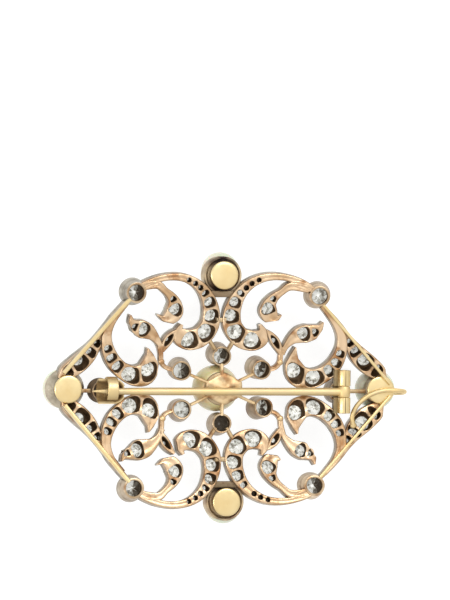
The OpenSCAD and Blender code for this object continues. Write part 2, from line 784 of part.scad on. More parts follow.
// A cut stone with its girdle at z = 0, its table to the front and its point to the back.
module stone(r, sides) {
    crown_h = 0.3 * r;
    point_h = 0.5 * r;
    table_r = 0.58 * r;
    culet_r = 0.12 * r;
    girdle = [for (k = [0:sides - 1]) [r * cos(360 * k / sides), r * sin(360 * k / sides), 0]];
    table = [for (k = [0:7]) [table_r * cos(45 * k + 22.5), table_r * sin(45 * k + 22.5), -crown_h]];
    culet = [for (k = [0:7]) [culet_r * cos(45 * k), culet_r * sin(45 * k), point_h]];
    m = sides / 8;
    polyhedron(concat(girdle, table, culet), concat(
        [[for (k = [0:7]) sides + k]],
        [[for (k = [7:-1:0]) sides + 8 + k]],
        [for (k = [0:7]) for (j = [0:m - 1]) [m * k + j, (m * k + j + 1) % sides, sides + k]],
        [for (k = [0:7]) [sides + k, m * (k + 1) % sides, sides + (k + 1) % 8]],
        [for (k = [0:7]) for (j = [0:m - 1])
            [(m * k + j + 1) % sides, m * k + j, sides + 8 + (2 * j + 1 >= m ? (k + 1) % 8 : k)]],
        [for (k = [0:7]) [m * k + floor(m / 2), sides + 8 + k, sides + 8 + (k + 1) % 8]]));
}

// The stone of window w in ribbon k of quarter i.
module set_stone(i, k, w) {
    girdle_h = 0.45;
    row = PLATES[i][k][1][w];
    p = warp(QUARTERS[i], middle(PLATES[i][k][0], row));
    front = k == end_leaf ? -leaf_drop - leaf_t : -plate_t;
    in_quarter(QUARTERS[i]) translate([p[0], p[1], front + girdle_h]) stone(row[2], 8);
}
module main_stone(i, k) {
    color(stone_white) set_stone(i, MAIN_STONES[k][0], MAIN_STONES[k][1]);
}
module small_stones(i) {
    color(stone_white) for (row = SMALL_STONES) set_stone(i, row[0], row[1]);
}
module collet_stone(row, height, front_r) {
    girdle_h = 0.35;
    stone_r = front_r - 0.2;
    color(stone_white) at_collet(row) translate([0, 0, girdle_h - height]) stone(stone_r, 16);
}

openwork();
pin_stem();
hinge_rivet();
outer_pearl(CUPS[0]);  // pearl_left
outer_pearl(CUPS[1]);  // pearl_right
outer_pearl(CUPS[2]);  // pearl_top
outer_pearl(CUPS[3]);  // pearl_bottom
pearl_centre();
collet_stone(END_COLLETS[0], end_h, end_front_r);  // end_stone_left
collet_stone(END_COLLETS[1], end_h, end_front_r);  // end_stone_right
for (c = [0:3]) {
    union() {
        collet_stone(CORNER_COLLETS[c], corner_h, corner_front_r);
    }
}
for (c = [0:5]) {
    union() {
        collet_stone(INNER_COLLETS[c], inner_h, inner_front_r);
    }
}
for (i = [0:3]) {
    small_stones(i);
    for (k = [0:5]) {
        main_stone(i, k);
    }
}
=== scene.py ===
"""Pearl brooch, dressed for its portrait: pierced gold plates faced with silver, diamonds and pearls.

Lengths in the tables are millimetres in the maker's frame, whose zero is the middle of the pattern.
Everything made here is moved into the row frame, in metres, as it is turned into a mesh.
"""
import math

import bmesh
import bpy
import numpy as np
from mathutils import Matrix, Vector


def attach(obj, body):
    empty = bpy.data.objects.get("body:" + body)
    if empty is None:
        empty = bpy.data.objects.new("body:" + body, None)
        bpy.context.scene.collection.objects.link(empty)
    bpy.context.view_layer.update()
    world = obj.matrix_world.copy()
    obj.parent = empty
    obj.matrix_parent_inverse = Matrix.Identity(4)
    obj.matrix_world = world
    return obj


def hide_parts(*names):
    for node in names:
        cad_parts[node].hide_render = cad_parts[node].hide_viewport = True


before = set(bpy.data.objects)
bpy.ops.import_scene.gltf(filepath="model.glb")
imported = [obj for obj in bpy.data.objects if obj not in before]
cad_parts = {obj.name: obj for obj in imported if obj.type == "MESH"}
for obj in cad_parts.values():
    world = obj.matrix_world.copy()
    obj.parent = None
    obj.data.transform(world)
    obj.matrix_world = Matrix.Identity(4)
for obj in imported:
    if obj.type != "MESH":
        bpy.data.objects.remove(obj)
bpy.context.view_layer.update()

bl_info = {
    "name": "Pearl brooch",
    "version": (1, 0, 0),
    "blender": (4, 5, 0),
    "location": "View3D > Sidebar > Brooch",
    "description": "Builds the metal, stones, pearls and pin of a pierced brooch round its CAD frame",
    "category": "Object",
}

MM = 0.001
SHIFT = np.array([-1.05, -0.13, 0.0])

# Driving sizes of the maker's drawing
PLATE_Z = 4.95
PLATE_T = 1.9
GOLD_T = 0.95
RISE_Y = math.radians(6)
RISE_X = math.radians(1.7)
# Rim and bridge of metal beside a window: of one with a small stone, and of one with a large stone
RIM = (0.26, 0.2)
BRIDGE = (0.34, 0.26)
LARGE_R = 0.45
# A window's outline is |x|^n + |y|^n = 1 with this n
ROUNDNESS = 3.0
# Longest step along the metal between windows, in rows
STATION_STEP = 0.16
LEAF_DROP = 0.6
LEAF_T = 2.1
STEM_T = 0.95
SEAT_GAP = 0.04
GIRDLE_OVER_FRONT = 0.45
CUP_WALL = 0.2
PIN_Y = -0.2
PIN_Z = 6.4
HINGE_X = 15.5

# The seven levels of a plate, from its back to its front. Columns: how far its edge stands out, how
# dark its edge is (painted shade on the side walls), share of the way from a window's outline to the
# circle round the stone, that circle's radius over the stone's, how dark the window's wall is (its patina
# and painted shade).
LEVELS = np.array([
    [0, 0.45, 0, 1.12, 0.5], [0.03, 0.5, 0.02, 1.12, 0.9], [0.03, 0.55, 0.1, 1.12, 1],
    [0, 0.5, 0.7, 1.1, 1], [0.035, 0.25, 1, 1, 0.9], [0.03, 0.05, 1, 0.9, 0.7], [-0.03, 0, 1, 0.94, 0.2],
])

# The camera: turn to the left, rise and roll, how far it stands, and the point that it looks at,
# to the right of and above the middle of the plates. Its focal length is in picture heights.
CAMERA_TURN, CAMERA_RISE, CAMERA_ROLL = math.radians(13.5), math.radians(1.9), math.radians(-0.59)
CAMERA_DISTANCE = 0.75
AIM_RIGHT, AIM_UP = 0.66, 11.05
FOCAL_LENGTH = 6075 / 600
SENSOR = 36

# How each quarter of the hand-cut plate differs from the drawing.
# Columns: side x, side y, stretch x, lean x, shift x, stretch y, lean y, shift y.
QUARTERS = [
    [-1, 1, 0.99, -0.02, 0.16, 1.005, 0, -0.09],
    [1, 1, 1.02, 0, -0.12, 1, -0.015, 0],
    [-1, -1, 0.99, -0.01, -0.08, 1.005, -0.005, 0.1],
    [1, -1, 1, 0.03, 0.04, 0.985, 0.015, 0],
]

# Ribbons of the drawing. Columns: x, y, half width.
BIG_SCROLL = [
    [11.3, 12.6, 0.42], [10.4, 13.25, 0.42], [9.2, 13.75, 0.42], [7.8, 14.08, 0.42],
    [6.3, 14.14, 0.46], [4.9, 13.87, 0.52], [3.55, 13.18, 0.62], [2.5, 12.15, 0.74],
    [1.75, 10.85, 0.92], [1.38, 9.35, 1.08], [1.55, 7.8, 1.2], [2.6, 6.5, 1.27],
    [4.1, 6.12, 1.25], [5.15, 6.5, 0.95], [5.3, 7.3, 0.5], [4.95, 8.1, 0.2],
]
HOOK = [
    [10.8, 12.7, 0.5], [8.6, 12.98, 0.52], [7.5, 12.25, 0.42], [6.65, 11.5, 0.58],
    [6.15, 10.6, 0.85], [6.15, 9.7, 1.12], [6.6, 8.95, 0.88], [7.4, 8.8, 0.42], [8.2, 9.2, 0.08],
]
CRESCENT = [
    [12.3, 10.7, 0.3], [13.2, 9.65, 0.36], [14.1, 8.45, 0.45], [14.68, 7.1, 0.58],
    [14.7, 5.9, 0.68], [14.35, 4.6, 0.84], [13.6, 3.35, 0.95], [12.45, 2.35, 1.02],
    [11.0, 1.74, 1.24], [9.55, 1.95, 1.4], [8.85, 3.0, 1.02], [9.0, 4.1, 0.55], [9.3, 5.1, 0.08],
]
FLAME = [
    [7.45, 4.75, 0.3], [7.95, 5.75, 0.36], [8.7, 6.6, 0.62], [9.6, 7.2, 0.95],
    [10.5, 7.4, 1.12], [11.4, 7.55, 0.85], [12.1, 8.1, 0.45], [12.55, 8.9, 0.08],
]
SMALL_LEAF = [
    [5.7, 7.4, 0.16], [6.15, 6.95, 0.42], [6.7, 6.25, 0.6], [7.15, 5.5, 0.5], [7.5, 4.75, 0.25],
]
END_LEAF = [
    [13.0, 10.3, 0.3], [14.0, 9.2, 0.4], [14.9, 8.1, 0.48], [15.7, 6.85, 0.66], [16.5, 5.6, 0.98],
    [17.4, 4.4, 1.34], [18.6, 3.25, 1.45], [19.8, 2.3, 1.2], [20.4, 1.4, 0.6],
]
STEM = [
    [7.8, 5.4, 0.34], [7.6, 4.4, 0.3], [7.5, 3.5, 0.28], [7.0, 2.85, 0.27], [6.1, 2.5, 0.27],
]
# Solder that fills the groove between the big scroll and the hook
WEB = [[11.1, 12.68, 0.4], [10.3, 13.0, 0.52], [9.5, 13.25, 0.5], [8.9, 13.4, 0.34], [8.5, 13.42, 0.16]]
# Windows. Columns: from and to in rows of the ribbon, radius of the stone, shift across, 1 if round.
DRAWING = [
    (BIG_SCROLL, [
        [4.98, 5.5, 0.27, 0.05, 1], [5.62, 6.14, 0.29, 0.05, 1], [6.22, 6.74, 0.31, 0.05, 1],
        [6.8, 7.45, 0.38, 0.05, 0], [7.5, 8.5, 0.6, 0, 0], [8.55, 9.75, 0.74, 0, 0],
        [9.8, 11.15, 0.94, 0, 0], [11.2, 12.75, 0.96, 0, 0]]),
    (HOOK, [[2.85, 3.75, 0.34, 0, 0], [3.8, 5.6, 0.82, 0, 0]]),
    (CRESCENT, [
        [4.2, 5.05, 0.4, 0, 0], [5.1, 5.9, 0.54, 0, 0], [5.95, 6.85, 0.62, 0, 0],
        [6.9, 8.5, 0.92, 0, 0], [8.55, 10.5, 0.9, 0, 0]]),
    (FLAME, [[2.7, 4.6, 0.74, 0, 0], [4.65, 5.9, 0.38, 0, 0]]),
    (SMALL_LEAF, [[0.9, 3.3, 0.26, 0, 0]]),
    (END_LEAF, [
        [3.2, 4.05, 0.38, 0.1, 0], [4.1, 4.95, 0.62, 0.15, 0],
        [5.0, 6.3, 0.9, 0.2, 0], [6.35, 7.3, 0.36, 0.5, 0]]),
]
END_LEAF_ROW = 5
# Columns: x and y at the first row, the middle and the last row, slide, slide of round ones, width.
STRAY = [
    [
        [0, -0.5, -0.15, 0.25, 0.2, 0, 0, 0, 1], [0, 0, 0, 0, 0, 0, 0, 0, 1],
        [0, 0, -0.2, 0, 0, 0, 0, 0, 1], [0, 0, 0, 0, -0.8, 0.3, 0, 0, 1],
        [0, 0, 0, 0, 0, 0, 0, 0, 1], [-0.4, -0.3, -0.7, -0.55, -0.3, -0.2, 0, 0, 0.78],
    ],
    [
        [0, 0, 0, 0, 0, 0, 0, 0, 1], [0, 0, 0, 0, -0.7, 0.2, -0.15, 0, 1],
        [0.2, -0.1, 0.8, -0.8, 0.1, 0.3, 0, 0, 1], [0.3, -0.25, 0.1, -0.25, 0.2, -0.3, 0, 0, 1],
        [0.1, 0, 0.1, -0.1, 0.1, -0.25, 0, 0, 1], [0, 0, 0, 0, 0.2, 0.1, 0, 0, 0.86],
    ],
    [
        [-0.1, -0.3, -0.3, 0.3, 0, -0.2, 0, 0, 1], [-0.3, 0.15, 0, 0, 0, -0.1, 0, 0, 1],
        [0.1, 0, 0, 0, 0, 0.05, 0, 0, 1], [0.1, 0, 0.1, 0, 0.3, -0.2, 0.5, 0, 1.15],
        [0.4, 0.4, 0.4, 0.3, 0.4, 0.3, 0, 0, 1], [-0.5, -0.3, -0.5, -0.4, -0.5, -0.35, 0, 0, 0.78],
    ],
    [
        [0.5, -0.4, 0, 0, 0, 0, 0, -0.5, 1], [0, 0, 0, 0, -0.9, -0.5, 0.15, 0, 1],
        [0, 0.1, 0.9, 0, 0.3, 0.3, 0, 0, 1], [0, 0, 0, 0, -0.9, 0.3, 0, 0, 1],
        [0, 0, 0, 0, 0, 0, 0, 0, 1], [0, 0, 0, 0, 0, 0, 0, 0, 0.95],
    ],
]
MAIN_STONES = [(0, 5), (0, 6), (0, 7), (2, 3), (3, 0), (5, 2)]

# Collets. Columns: x, y and height of the back, lean of the front in x and in y in degrees.
CORNER_COLLETS = [
    [-11.0, 11.9, 6.7, -3, 4], [12.2, 11.6, 6.7, 4, 4],
    [-11.1, -12.1, 6.7, -1, -3], [11.8, -11.8, 6.7, 0, -3],
]
INNER_COLLETS = [
    [-5.0, 2.3, 5.6, 5, 5], [5.2, 2.45, 5.6, -4.5, 6], [-4.9, -2.45, 5.6, 4, -4],
    [5.5, -2.2, 5.6, -6.5, -2.5], [0.1, 4.1, 5.55, -1, 7], [0.2, -4.15, 5.55, 1, -4],
]
END_COLLETS = [[-14.8, PIN_Y, 5.4, 0, 0], [15.2, PIN_Y, 5.4, 0, 0]]
# Height, radius at the back, radius at the front
CORNER_FORM = (2.3, 1.3, 1.72)
INNER_FORM = (2.75, 1.22, 1.46)
END_FORM = (2.5, 1.35, 1.56)
BORE_R = 0.98
END_BORE_R = 1.15
# How far each collet has lost its gold colour, and how far it is darkened, partly tarnish and partly
# painted shade, in the order above.
COLLET_WEAR_AND_SHADE = [
    (0.9, 0.0), (0.15, 0.3), (0.45, 0.2), (0.1, 0.05),
    (0.25, 0.35), (0.15, 0.25), (0.35, 0.3), (0.1, 0.45), (0.3, 0.3), (0.3, 0.3),
    (0.3, 0.85), (0.2, 0.6),
]
# Straight bars. Columns: x and y of its first end, x and y of its last end, its width.
BARS = [
    [11.8, 11.2, 19.85, 2.0, 0.46], [12.75, 10.6, 21.6, 0.75, 0.38],
    [11.7, 11.4, 19.7, 1.95, 0.5], [12.55, 10.85, 21.6, 0.75, 0.4],
]
# Cups. Columns: x, y and height of the disc, x and y of the pearl, its diameter, 1 for a ring.
CUPS = [
    [-19.2, 0, 5.65, -19.3, 0, 5.0, 0], [20.45, 0, 5.65, 20.45, 0, 5.0, 0],
    [0.17, 14.1, 6.4, 0.5, 14.6, 4.7, 1], [0.73, -13.85, 6.4, 1.2, -14.4, 4.6, 1],
]
CUP_NAMES = ["left", "right", "top", "bottom"]
EYE_PATH = [
    [16.95, -4.4, 5.6], [16.75, -3.2, 5.75], [17.35, -1.9, 5.85], [18.5, -0.85, 5.92],
    [19.8, -0.25, 5.95], [21.2, 0.0, 5.95], [22.7, -0.08, 5.8], [23.55, -0.2, 5.2],
    [23.5, -0.35, 4.4], [22.8, -0.4, 3.9], [21.8, -0.4, 3.9],
]
# Solder. Columns: x, y and z of its lowest corner, its size in x, y and z.
SOLDER = [
    [-0.6, 8.3, 4.45, 1.2, 0.6, 1.2], [-0.6, -8.9, 4.45, 1.2, 0.6, 1.2],
    [-1.6, 11.4, 4.9, 3.6, 0.8, 0.75], [-1.3, -12.1, 5.1, 3.6, 0.8, 0.55],
]


def at(rows, stations):
    """Points of the smooth curve through the rows of a table, by Catmull and Rom's formula."""
    rows, s = np.asarray(rows, float), np.asarray(stations, float)
    rows = np.concatenate([2 * rows[:1] - rows[1:2], rows, 2 * rows[-1:] - rows[-2:-1]])
    i = np.clip(np.floor(s).astype(int), 0, len(rows) - 4)
    a, b, c, d = rows[i], rows[i + 1], rows[i + 2], rows[i + 3]
    t = (s - i)[:, None]
    return 0.5 * (2 * b + (c - a) * t + (2 * a - 5 * b + 4 * c - d) * t**2
                  + (3 * b - a - 3 * c + d) * t**3)


def along_and_across(rows, stations, step=0.02):
    """Speed along the curve in mm a row, and the unit vector across it, at each station."""
    s = np.asarray(stations, float)
    move = (at(rows, s + step) - at(rows, s - step))[:, :2]
    return np.linalg.norm(move, axis=1) / (2 * step), unit(move[:, ::-1] * [-1, 1])


def unit(v):
    """Vectors of length 1."""
    return v / np.linalg.norm(v, axis=-1, keepdims=True)


def warp(q, p):
    """Points of the drawing moved as quarter q of the hand-cut plate has them."""
    x, y = p[..., 0], p[..., 1]
    return np.stack([q[2] * x + q[3] * y + q[4], q[5] * y + q[6] * x + q[7]], -1)


def strayed(rows, m):
    """A ribbon as the saw strayed: a parabola through its first, middle and last offsets."""
    rows, m = np.asarray(rows, float), np.asarray(m, float)
    t = np.linspace(0, 1, len(rows))[:, None]
    moved = rows[:, :2] + (1 - t) ** 2 * m[0:2] + 2 * t * (1 - t) * m[2:4] + t**2 * m[4:6]
    return np.concatenate([moved, rows[:, 2:] * m[8]], 1)


def slid(windows, m):
    """The windows of a ribbon, slid along it, with stones as wide as the ribbon was cut."""
    return [[w[0] + m[6] + w[4] * m[7], w[1] + m[6] + w[4] * m[7], w[2] * m[8], *w[3:]] for w in windows]


def turned(u, v, angle):
    """Two coordinates turned by an angle, from u towards v."""
    return u * math.cos(angle) - v * math.sin(angle), u * math.sin(angle) + v * math.cos(angle)


def in_quarter(q, p):
    """Points drawn for x > 0 and y > 0, laid on the sloping plane of quarter q."""
    x, y, z = np.moveaxis(p, -1, 0)
    y, z = turned(y, z, RISE_Y)
    x, z = turned(x, z, RISE_X)
    return np.stack([q[0] * x, q[1] * y, z + PLATE_Z], -1)


def in_collet(row, p):
    """Points drawn round a collet's own axis, leant and set in its place."""
    x, y, z = np.moveaxis(p, -1, 0)
    y, z = turned(y, z, math.radians(row[4]))
    x, z = turned(x, z, math.radians(row[3]))
    return np.stack([x + row[0], y + row[1], z + row[2]], -1)


class Shape:
    """Points, faces and vertex values gathered into one mesh."""

    def __init__(self):
        self.points, self.faces, self.silver, self.inside, self.count = [], [], [], [], 0

    def add(self, form, place=(0, 0, 0), silver=0.0, inside=0.0):
        """Adds a form: its points, moved by a vector or as a function says, and arrays of faces
        that count from its first point."""
        points = place(form[0]) if callable(place) else form[0] + np.array(place)
        points = points.reshape(-1, 3)
        n = len(points)
        self.points.append(points)
        self.silver.append(np.broadcast_to(np.asarray(silver, float), (n,)))
        self.inside.append(np.broadcast_to(np.asarray(inside, float), (n,)))
        self.faces += [f + self.count for f in form[1]]
        self.count += n
        return self

    def build(self, name, finish, slot="rose_gold", node=None, body="brooch", sharp=38.0):
        """The mesh object, in metres in the row frame, without the points that no face uses. It
        stands in for a node where one is named. Where sharp is 0 its facets stay flat."""
        points = (np.concatenate(self.points) + SHIFT) * MM
        used = np.zeros(len(points), bool)
        used[np.concatenate([f.ravel() for f in self.faces])] = True
        index = np.cumsum(used) - 1
        mesh = bpy.data.meshes.new(name)
        faces = [row for f in self.faces for row in index[f].tolist()]
        mesh.from_pydata(points[used].tolist(), [], faces)
        for title in ("silver", "inside"):
            layer = mesh.attributes.new(title, "FLOAT", "POINT")
            values = np.concatenate(getattr(self, title))[used]
            layer.data.foreach_set("value", values.astype(np.float32))
        bm = bmesh.new()
        bm.from_mesh(mesh)
        bmesh.ops.remove_doubles(bm, verts=bm.verts, dist=1e-7)
        bmesh.ops.recalc_face_normals(bm, faces=bm.faces)
        bm.to_mesh(mesh)
        bm.free()
        mesh.polygons.foreach_set("use_smooth", [sharp > 0] * len(mesh.polygons))
        if sharp:
            mesh.set_sharp_from_angle(angle=math.radians(sharp))
        else:
            rng = np.random.default_rng(len(name) + len(points))
            glint = rng.uniform(0.25, 1, len(mesh.polygons))
            layer = mesh.attributes.new("facet", "FLOAT", "FACE")
            layer.data.foreach_set("value", glint.astype(np.float32))
        mesh.materials.append(MATERIALS[finish])
        obj = bpy.data.objects.new(name, mesh)
        bpy.context.scene.collection.objects.link(obj)
        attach(obj, body)
        if node:
            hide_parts(node)
        return obj


def skin(rows, cols, closed=False):
    """Faces of a grid of points whose every row is a loop. Its ends are closed by flat faces, or its
    last row meets its first where it is closed."""
    i, j = np.meshgrid(np.arange(rows if closed else rows - 1), np.arange(cols), indexing="ij")
    i2, j2 = (i + 1) % rows, (j + 1) % cols
    quads = np.stack([i * cols + j, i * cols + j2, i2 * cols + j2, i2 * cols + j], -1).reshape(-1, 4)
    ring = np.arange(cols)[None]
    return [quads] if closed else [quads, ring[:, ::-1], (rows - 1) * cols + ring]


def around(sides):
    """Angles that go once round a circle."""
    return np.linspace(0, 2 * np.pi, sides, endpoint=False)


def oval(r, height, theta):
    """A profile for a turned bead: its r and z at angles from its top."""
    return np.stack([r * np.sin(theta), height * np.cos(theta)], 1)


def lathe(profile, sides, wobble=1.0, closed=False):
    """A turned form: r and z of each profile row carried round a full circle, r times a wobble."""
    profile = np.asarray(profile, float)
    phi = around(sides)
    r = profile[:, :1] * np.broadcast_to(wobble, sides)
    z = np.broadcast_to(profile[:, 1:], r.shape)
    return np.stack([r * np.cos(phi), r * np.sin(phi), z], -1), skin(len(profile), sides, closed)


def sweep(path, section, up=(0, 0, 1), scale=1.0):
    """A section (across, up) carried along a path, kept upright towards up; scale changes its size."""
    path = np.asarray(path, float)
    ahead = unit(np.gradient(path, axis=0))
    side = unit(np.cross(ahead, up))
    top = np.cross(side, ahead)
    size = np.broadcast_to(scale, len(path))[:, None, None]
    points = path[:, None] + size * (section[:, :1] * side[:, None] + section[:, 1:] * top[:, None])
    return points, skin(len(path), len(section))


def straight(a, b, section, count=6):
    """A section carried from a to b."""
    return sweep(np.linspace(a, b, count), section)


def rounded_box(width, height, r):
    """A rectangle section with its corners rounded, its middle at zero."""
    a = np.radians(np.array([[0], [90], [180], [270]]) + np.linspace(0, 90, 4))
    x = np.array([[1], [-1], [-1], [1]]) * (width / 2 - r) + r * np.cos(a)
    y = np.array([[1], [1], [-1], [-1]]) * (height / 2 - r) + r * np.sin(a)
    return np.stack([x, y], -1).reshape(-1, 2)


def seat_of(rows, window, q):
    """The middle of a window in rows, the ribbon's speed there, and the middle of its stone."""
    mid = (window[0] + window[1]) / 2
    speed, side = along_and_across(rows, [mid])
    return mid, speed[0], warp(q, at(rows, [mid])[0, :2] + window[3] * side[0])


def clear_stations(rows, q):
    """First and last station of a ribbon whose middle line keeps out of the collets' bores."""
    s = np.linspace(0, len(rows) - 1, 300)
    flat = warp(q, at(rows, s)[:, :2])
    middle = in_quarter(q, np.concatenate([flat, np.zeros((len(s), 1))], 1))[:, None, :2]
    centres = np.array([row[:2] for row in CORNER_COLLETS + INNER_COLLETS])
    free = s[(np.linalg.norm(middle - centres, axis=2) > BORE_R + 0.16).all(axis=1)]
    return free[0], free[-1]


def evenly(a, b):
    """Stations from a to b, no further apart than the longest step."""
    return np.linspace(a, b, max(2, math.ceil((b - a) / STATION_STEP) + 1))


def unfold(plan, middle, columns):
    """Edges of a ribbon, in place. Where it bends tighter than its half width, the points of its
    inner edge would cross: they go on the line between their nearest free neighbours."""
    k = np.arange(len(plan))
    for col in (0, 1, 6, 7):
        gap = np.linalg.norm(plan[:, None, col] - middle[None], axis=2) - np.abs(columns[None, :, col])
        free = (gap > -0.04).all(axis=1)
        free[[0, -1]] = True
        for axis in (0, 1):
            plan[:, col, axis] = np.interp(k, k[free], plan[free, col, axis])


def ribbon_plate(shape, rows, windows, q, back, thickness, edge_shade=1.0):
    """One ribbon of a quarter. Its points are a grid of stations along by eight columns across,
    at seven levels from the back down to the front. A window leaves out the cells between its two
    middle columns, and its walls narrow from a squarish outline to the round seat of its stone."""
    first, last = clear_stations(rows, q)
    holes, cuts, reached = [], [], first
    for window in windows:
        start, stop, stone_r, by, is_round = window
        mid, speed, centre = seat_of(rows, window, q)
        if is_round:
            half = (stone_r + SEAT_GAP) / speed
        else:
            half = (stop - start) / 2 + 0.02 - BRIDGE[stone_r > LARGE_R] / 2 / speed
        holes.append((mid, half, stone_r, by * is_round, is_round, centre))
        cuts += [evenly(reached, mid - half)[:-1],
                 mid + half * np.sin(np.linspace(-np.pi / 2, np.pi / 2, 13))]
        reached = mid + half
    s = np.concatenate([*cuts, evenly(reached, last)[1 if windows else 0:]])
    s = s[np.concatenate([[True], np.diff(s) > 1e-6])]
    count = len(s)
    mids = at(rows, s)
    half_width = np.maximum(0.03, mids[:, 2])
    _, side = along_and_across(rows, s)

    low, high, hole_of = np.full(count, np.nan), np.full(count, np.nan), np.full(count, -1)
    for h, (mid, half, stone_r, by, is_round, _) in enumerate(holes):
        inside = np.abs(s - mid) <= half + 1e-6
        x = np.clip((s[inside] - mid) / half, -1, 1) * 0.985
        if is_round:
            reach = (stone_r + SEAT_GAP) * np.sqrt(1 - x**2)
        else:
            wide = np.maximum(0.06, half_width[inside] - RIM[stone_r > LARGE_R])
            reach = wide * (1 - np.abs(x) ** ROUNDNESS) ** (1 / ROUNDNESS)
        low[inside], high[inside], hole_of[inside] = by - reach, by + reach, h
    known = hole_of >= 0
    stops = np.concatenate([[first], s[known], [last]])

    def carried(edge, end):
        """A window's edge, as a share of the half width, carried on over the metal between windows."""
        return np.interp(s, stops, [end, *(edge / half_width)[known], end]) * half_width

    low, high = carried(low, -0.35), carried(high, 0.35)
    fillet = np.minimum(0.11, 0.3 * half_width)
    edge_in = np.minimum(0.03, 0.1 * half_width)
    inner = np.minimum(0.07, 0.35 * np.minimum(low + half_width, half_width - high))
    columns = np.sort(np.stack([
        -half_width + edge_in, -half_width + fillet, low - inner, low,
        high, high + inner, half_width - fillet, half_width - edge_in], 1), axis=1)
    plan = mids[:, None, :2] + columns[:, :, None] * side[:, None]
    unfold(plan, mids[:, :2], columns)

    gold, front = -GOLD_T, -thickness
    z = np.array([0, -0.17, gold + 0.03, gold - 0.01, gold - 0.06, front + 0.13, 0])
    z = np.repeat(z[:, None], 8, 1)
    z[0] = [-0.07, -0.012, 0.0, -0.035, -0.035, 0.0, -0.012, -0.07]
    z[6] = np.array([0.02, 0, 0, 0.02, 0.02, 0, 0, 0.02]) + front
    z_hole = [-0.035, -0.11, 0.5 * gold, gold + 0.04, front + 0.5, front + 0.17, front + 0.02]
    points = np.zeros((7, count, 8, 3))
    points[..., 2] = z[:, None]
    silver, dark = np.zeros((2, 7, count, 8))
    silver[4:] = 1.0
    # Painted shade on the side walls at the edges, and on the window walls, where it also stands for patina
    dark[..., [0, 7]] = edge_shade * LEVELS[:, 1, None, None]
    for level, (out, _, to_round, seat, hole_dark) in enumerate(LEVELS):
        outward = np.minimum(out, half_width * 0.5)[:, None] * side
        flat = plan.copy()
        flat[:, 0] -= outward
        flat[:, 7] += outward
        flat = warp(q, flat)
        for h, (_, _, stone_r, _, _, centre) in enumerate(holes):
            here = np.nonzero(hole_of == h)[0]
            radius = seat * stone_r + (SEAT_GAP if level < 5 else 0)
            for col in (3, 4):
                on_circle = centre + radius * unit(flat[here, col] - centre)
                flat[here, col] = (1 - to_round) * flat[here, col] + to_round * on_circle
                points[level, here, col, 2] = z_hole[level]
                dark[level, here, col] = hole_dark
        points[level, :, :, :2] = flat
    points[..., 2] += back

    def corner(level, i, j):
        return (level * count + i) * 8 + j

    def wall(level, i, j, along, across):
        """Quads between a level and the next, from each point to the one along or across from it."""
        return np.stack([corner(level, i, j), corner(level, i + along, j + across),
                         corner(level + 1, i + along, j + across), corner(level + 1, i, j)], -1)

    i, j = np.meshgrid(np.arange(count - 1), np.arange(7), indexing="ij")
    cut = (hole_of[:-1] >= 0) & (hole_of[:-1] == hole_of[1:])
    keep = ~(cut[:, None] & (j == 3))
    i, j = i[keep], j[keep]
    faces = [np.stack([corner(level, i, j), corner(level, i, j + 1), corner(level, i + 1, j + 1),
                       corner(level, i + 1, j)], -1) for level in (0, 6)]
    i = np.arange(count - 1)
    for level in range(6):
        faces += [wall(level, i, col, 1, 0) for col in (0, 7)]
        faces += [wall(level, i[cut], col, 1, 0) for col in (3, 4)]
        faces += [wall(level, row, np.arange(7), 0, 1) for row in (0, count - 1)]
        for h in range(len(holes)):
            here = np.nonzero(hole_of == h)[0]
            faces += [wall(level, row, np.array([3]), 0, 1) for row in (here[0], here[-1])]
    shape.add((points, faces), lambda p: in_quarter(q, p), silver.ravel(), dark.ravel())


def stones_of(i):
    """Every stone of quarter i: its ribbon, its window, the middle of its girdle and its radius."""
    out = []
    for k, (rows, windows) in enumerate(DRAWING):
        bent = strayed(rows, STRAY[i][k])
        front = -LEAF_DROP - LEAF_T if k == END_LEAF_ROW else -PLATE_T
        for w, window in enumerate(slid(windows, STRAY[i][k])):
            _, _, p = seat_of(bent, window, QUARTERS[i])
            out.append((k, w, np.array([*p, front + GIRDLE_OVER_FRONT]), window[2]))
    return out


def brilliant(r, turn):
    """A brilliant of radius r with its girdle at z = 0, its table to the front and its culet to the
    back. Rings of corners: table, crown, the two edges of the girdle, pavilion and culet."""
    def ring(count, first, radius, z):
        a = np.radians(first + np.arange(count) * 360 / count) + turn
        return r * np.stack([radius * np.cos(a), radius * np.sin(a), np.full(count, z)], -1)

    points = np.concatenate([
        ring(8, 0, 0.56, -0.3), ring(8, 22.5, 0.79, -0.19), ring(16, 0, 1, -0.03), ring(16, 0, 1, 0.03),
        ring(8, 22.5, 0.5, 0.3), ring(8, 0, 0.12, 0.5)])
    table, crown, upper, lower, pavilion, culet = 0, 8, 16, 32, 48, 56
    k = np.arange(8)
    k1, b = (k + 1) % 8, (k - 1) % 8
    g = np.arange(16)
    g1 = (g + 1) % 16
    near, mid, far = 2 * k, 2 * k + 1, (2 * k + 2) % 16
    faces = [k[None], culet + k[None]] + [np.stack(f, -1) for f in (
        (table + k, table + k1, crown + k),
        (table + k, crown + k, upper + near, crown + b),
        (crown + k, upper + near, upper + mid),
        (crown + k, upper + mid, upper + far),
        (upper + g, upper + g1, lower + g1, lower + g),
        (pavilion + k, lower + near, lower + mid),
        (pavilion + k, lower + mid, lower + far),
        (culet + k, pavilion + k, lower + near, pavilion + b),
        (culet + k, culet + k1, pavilion + k))]
    return points, faces


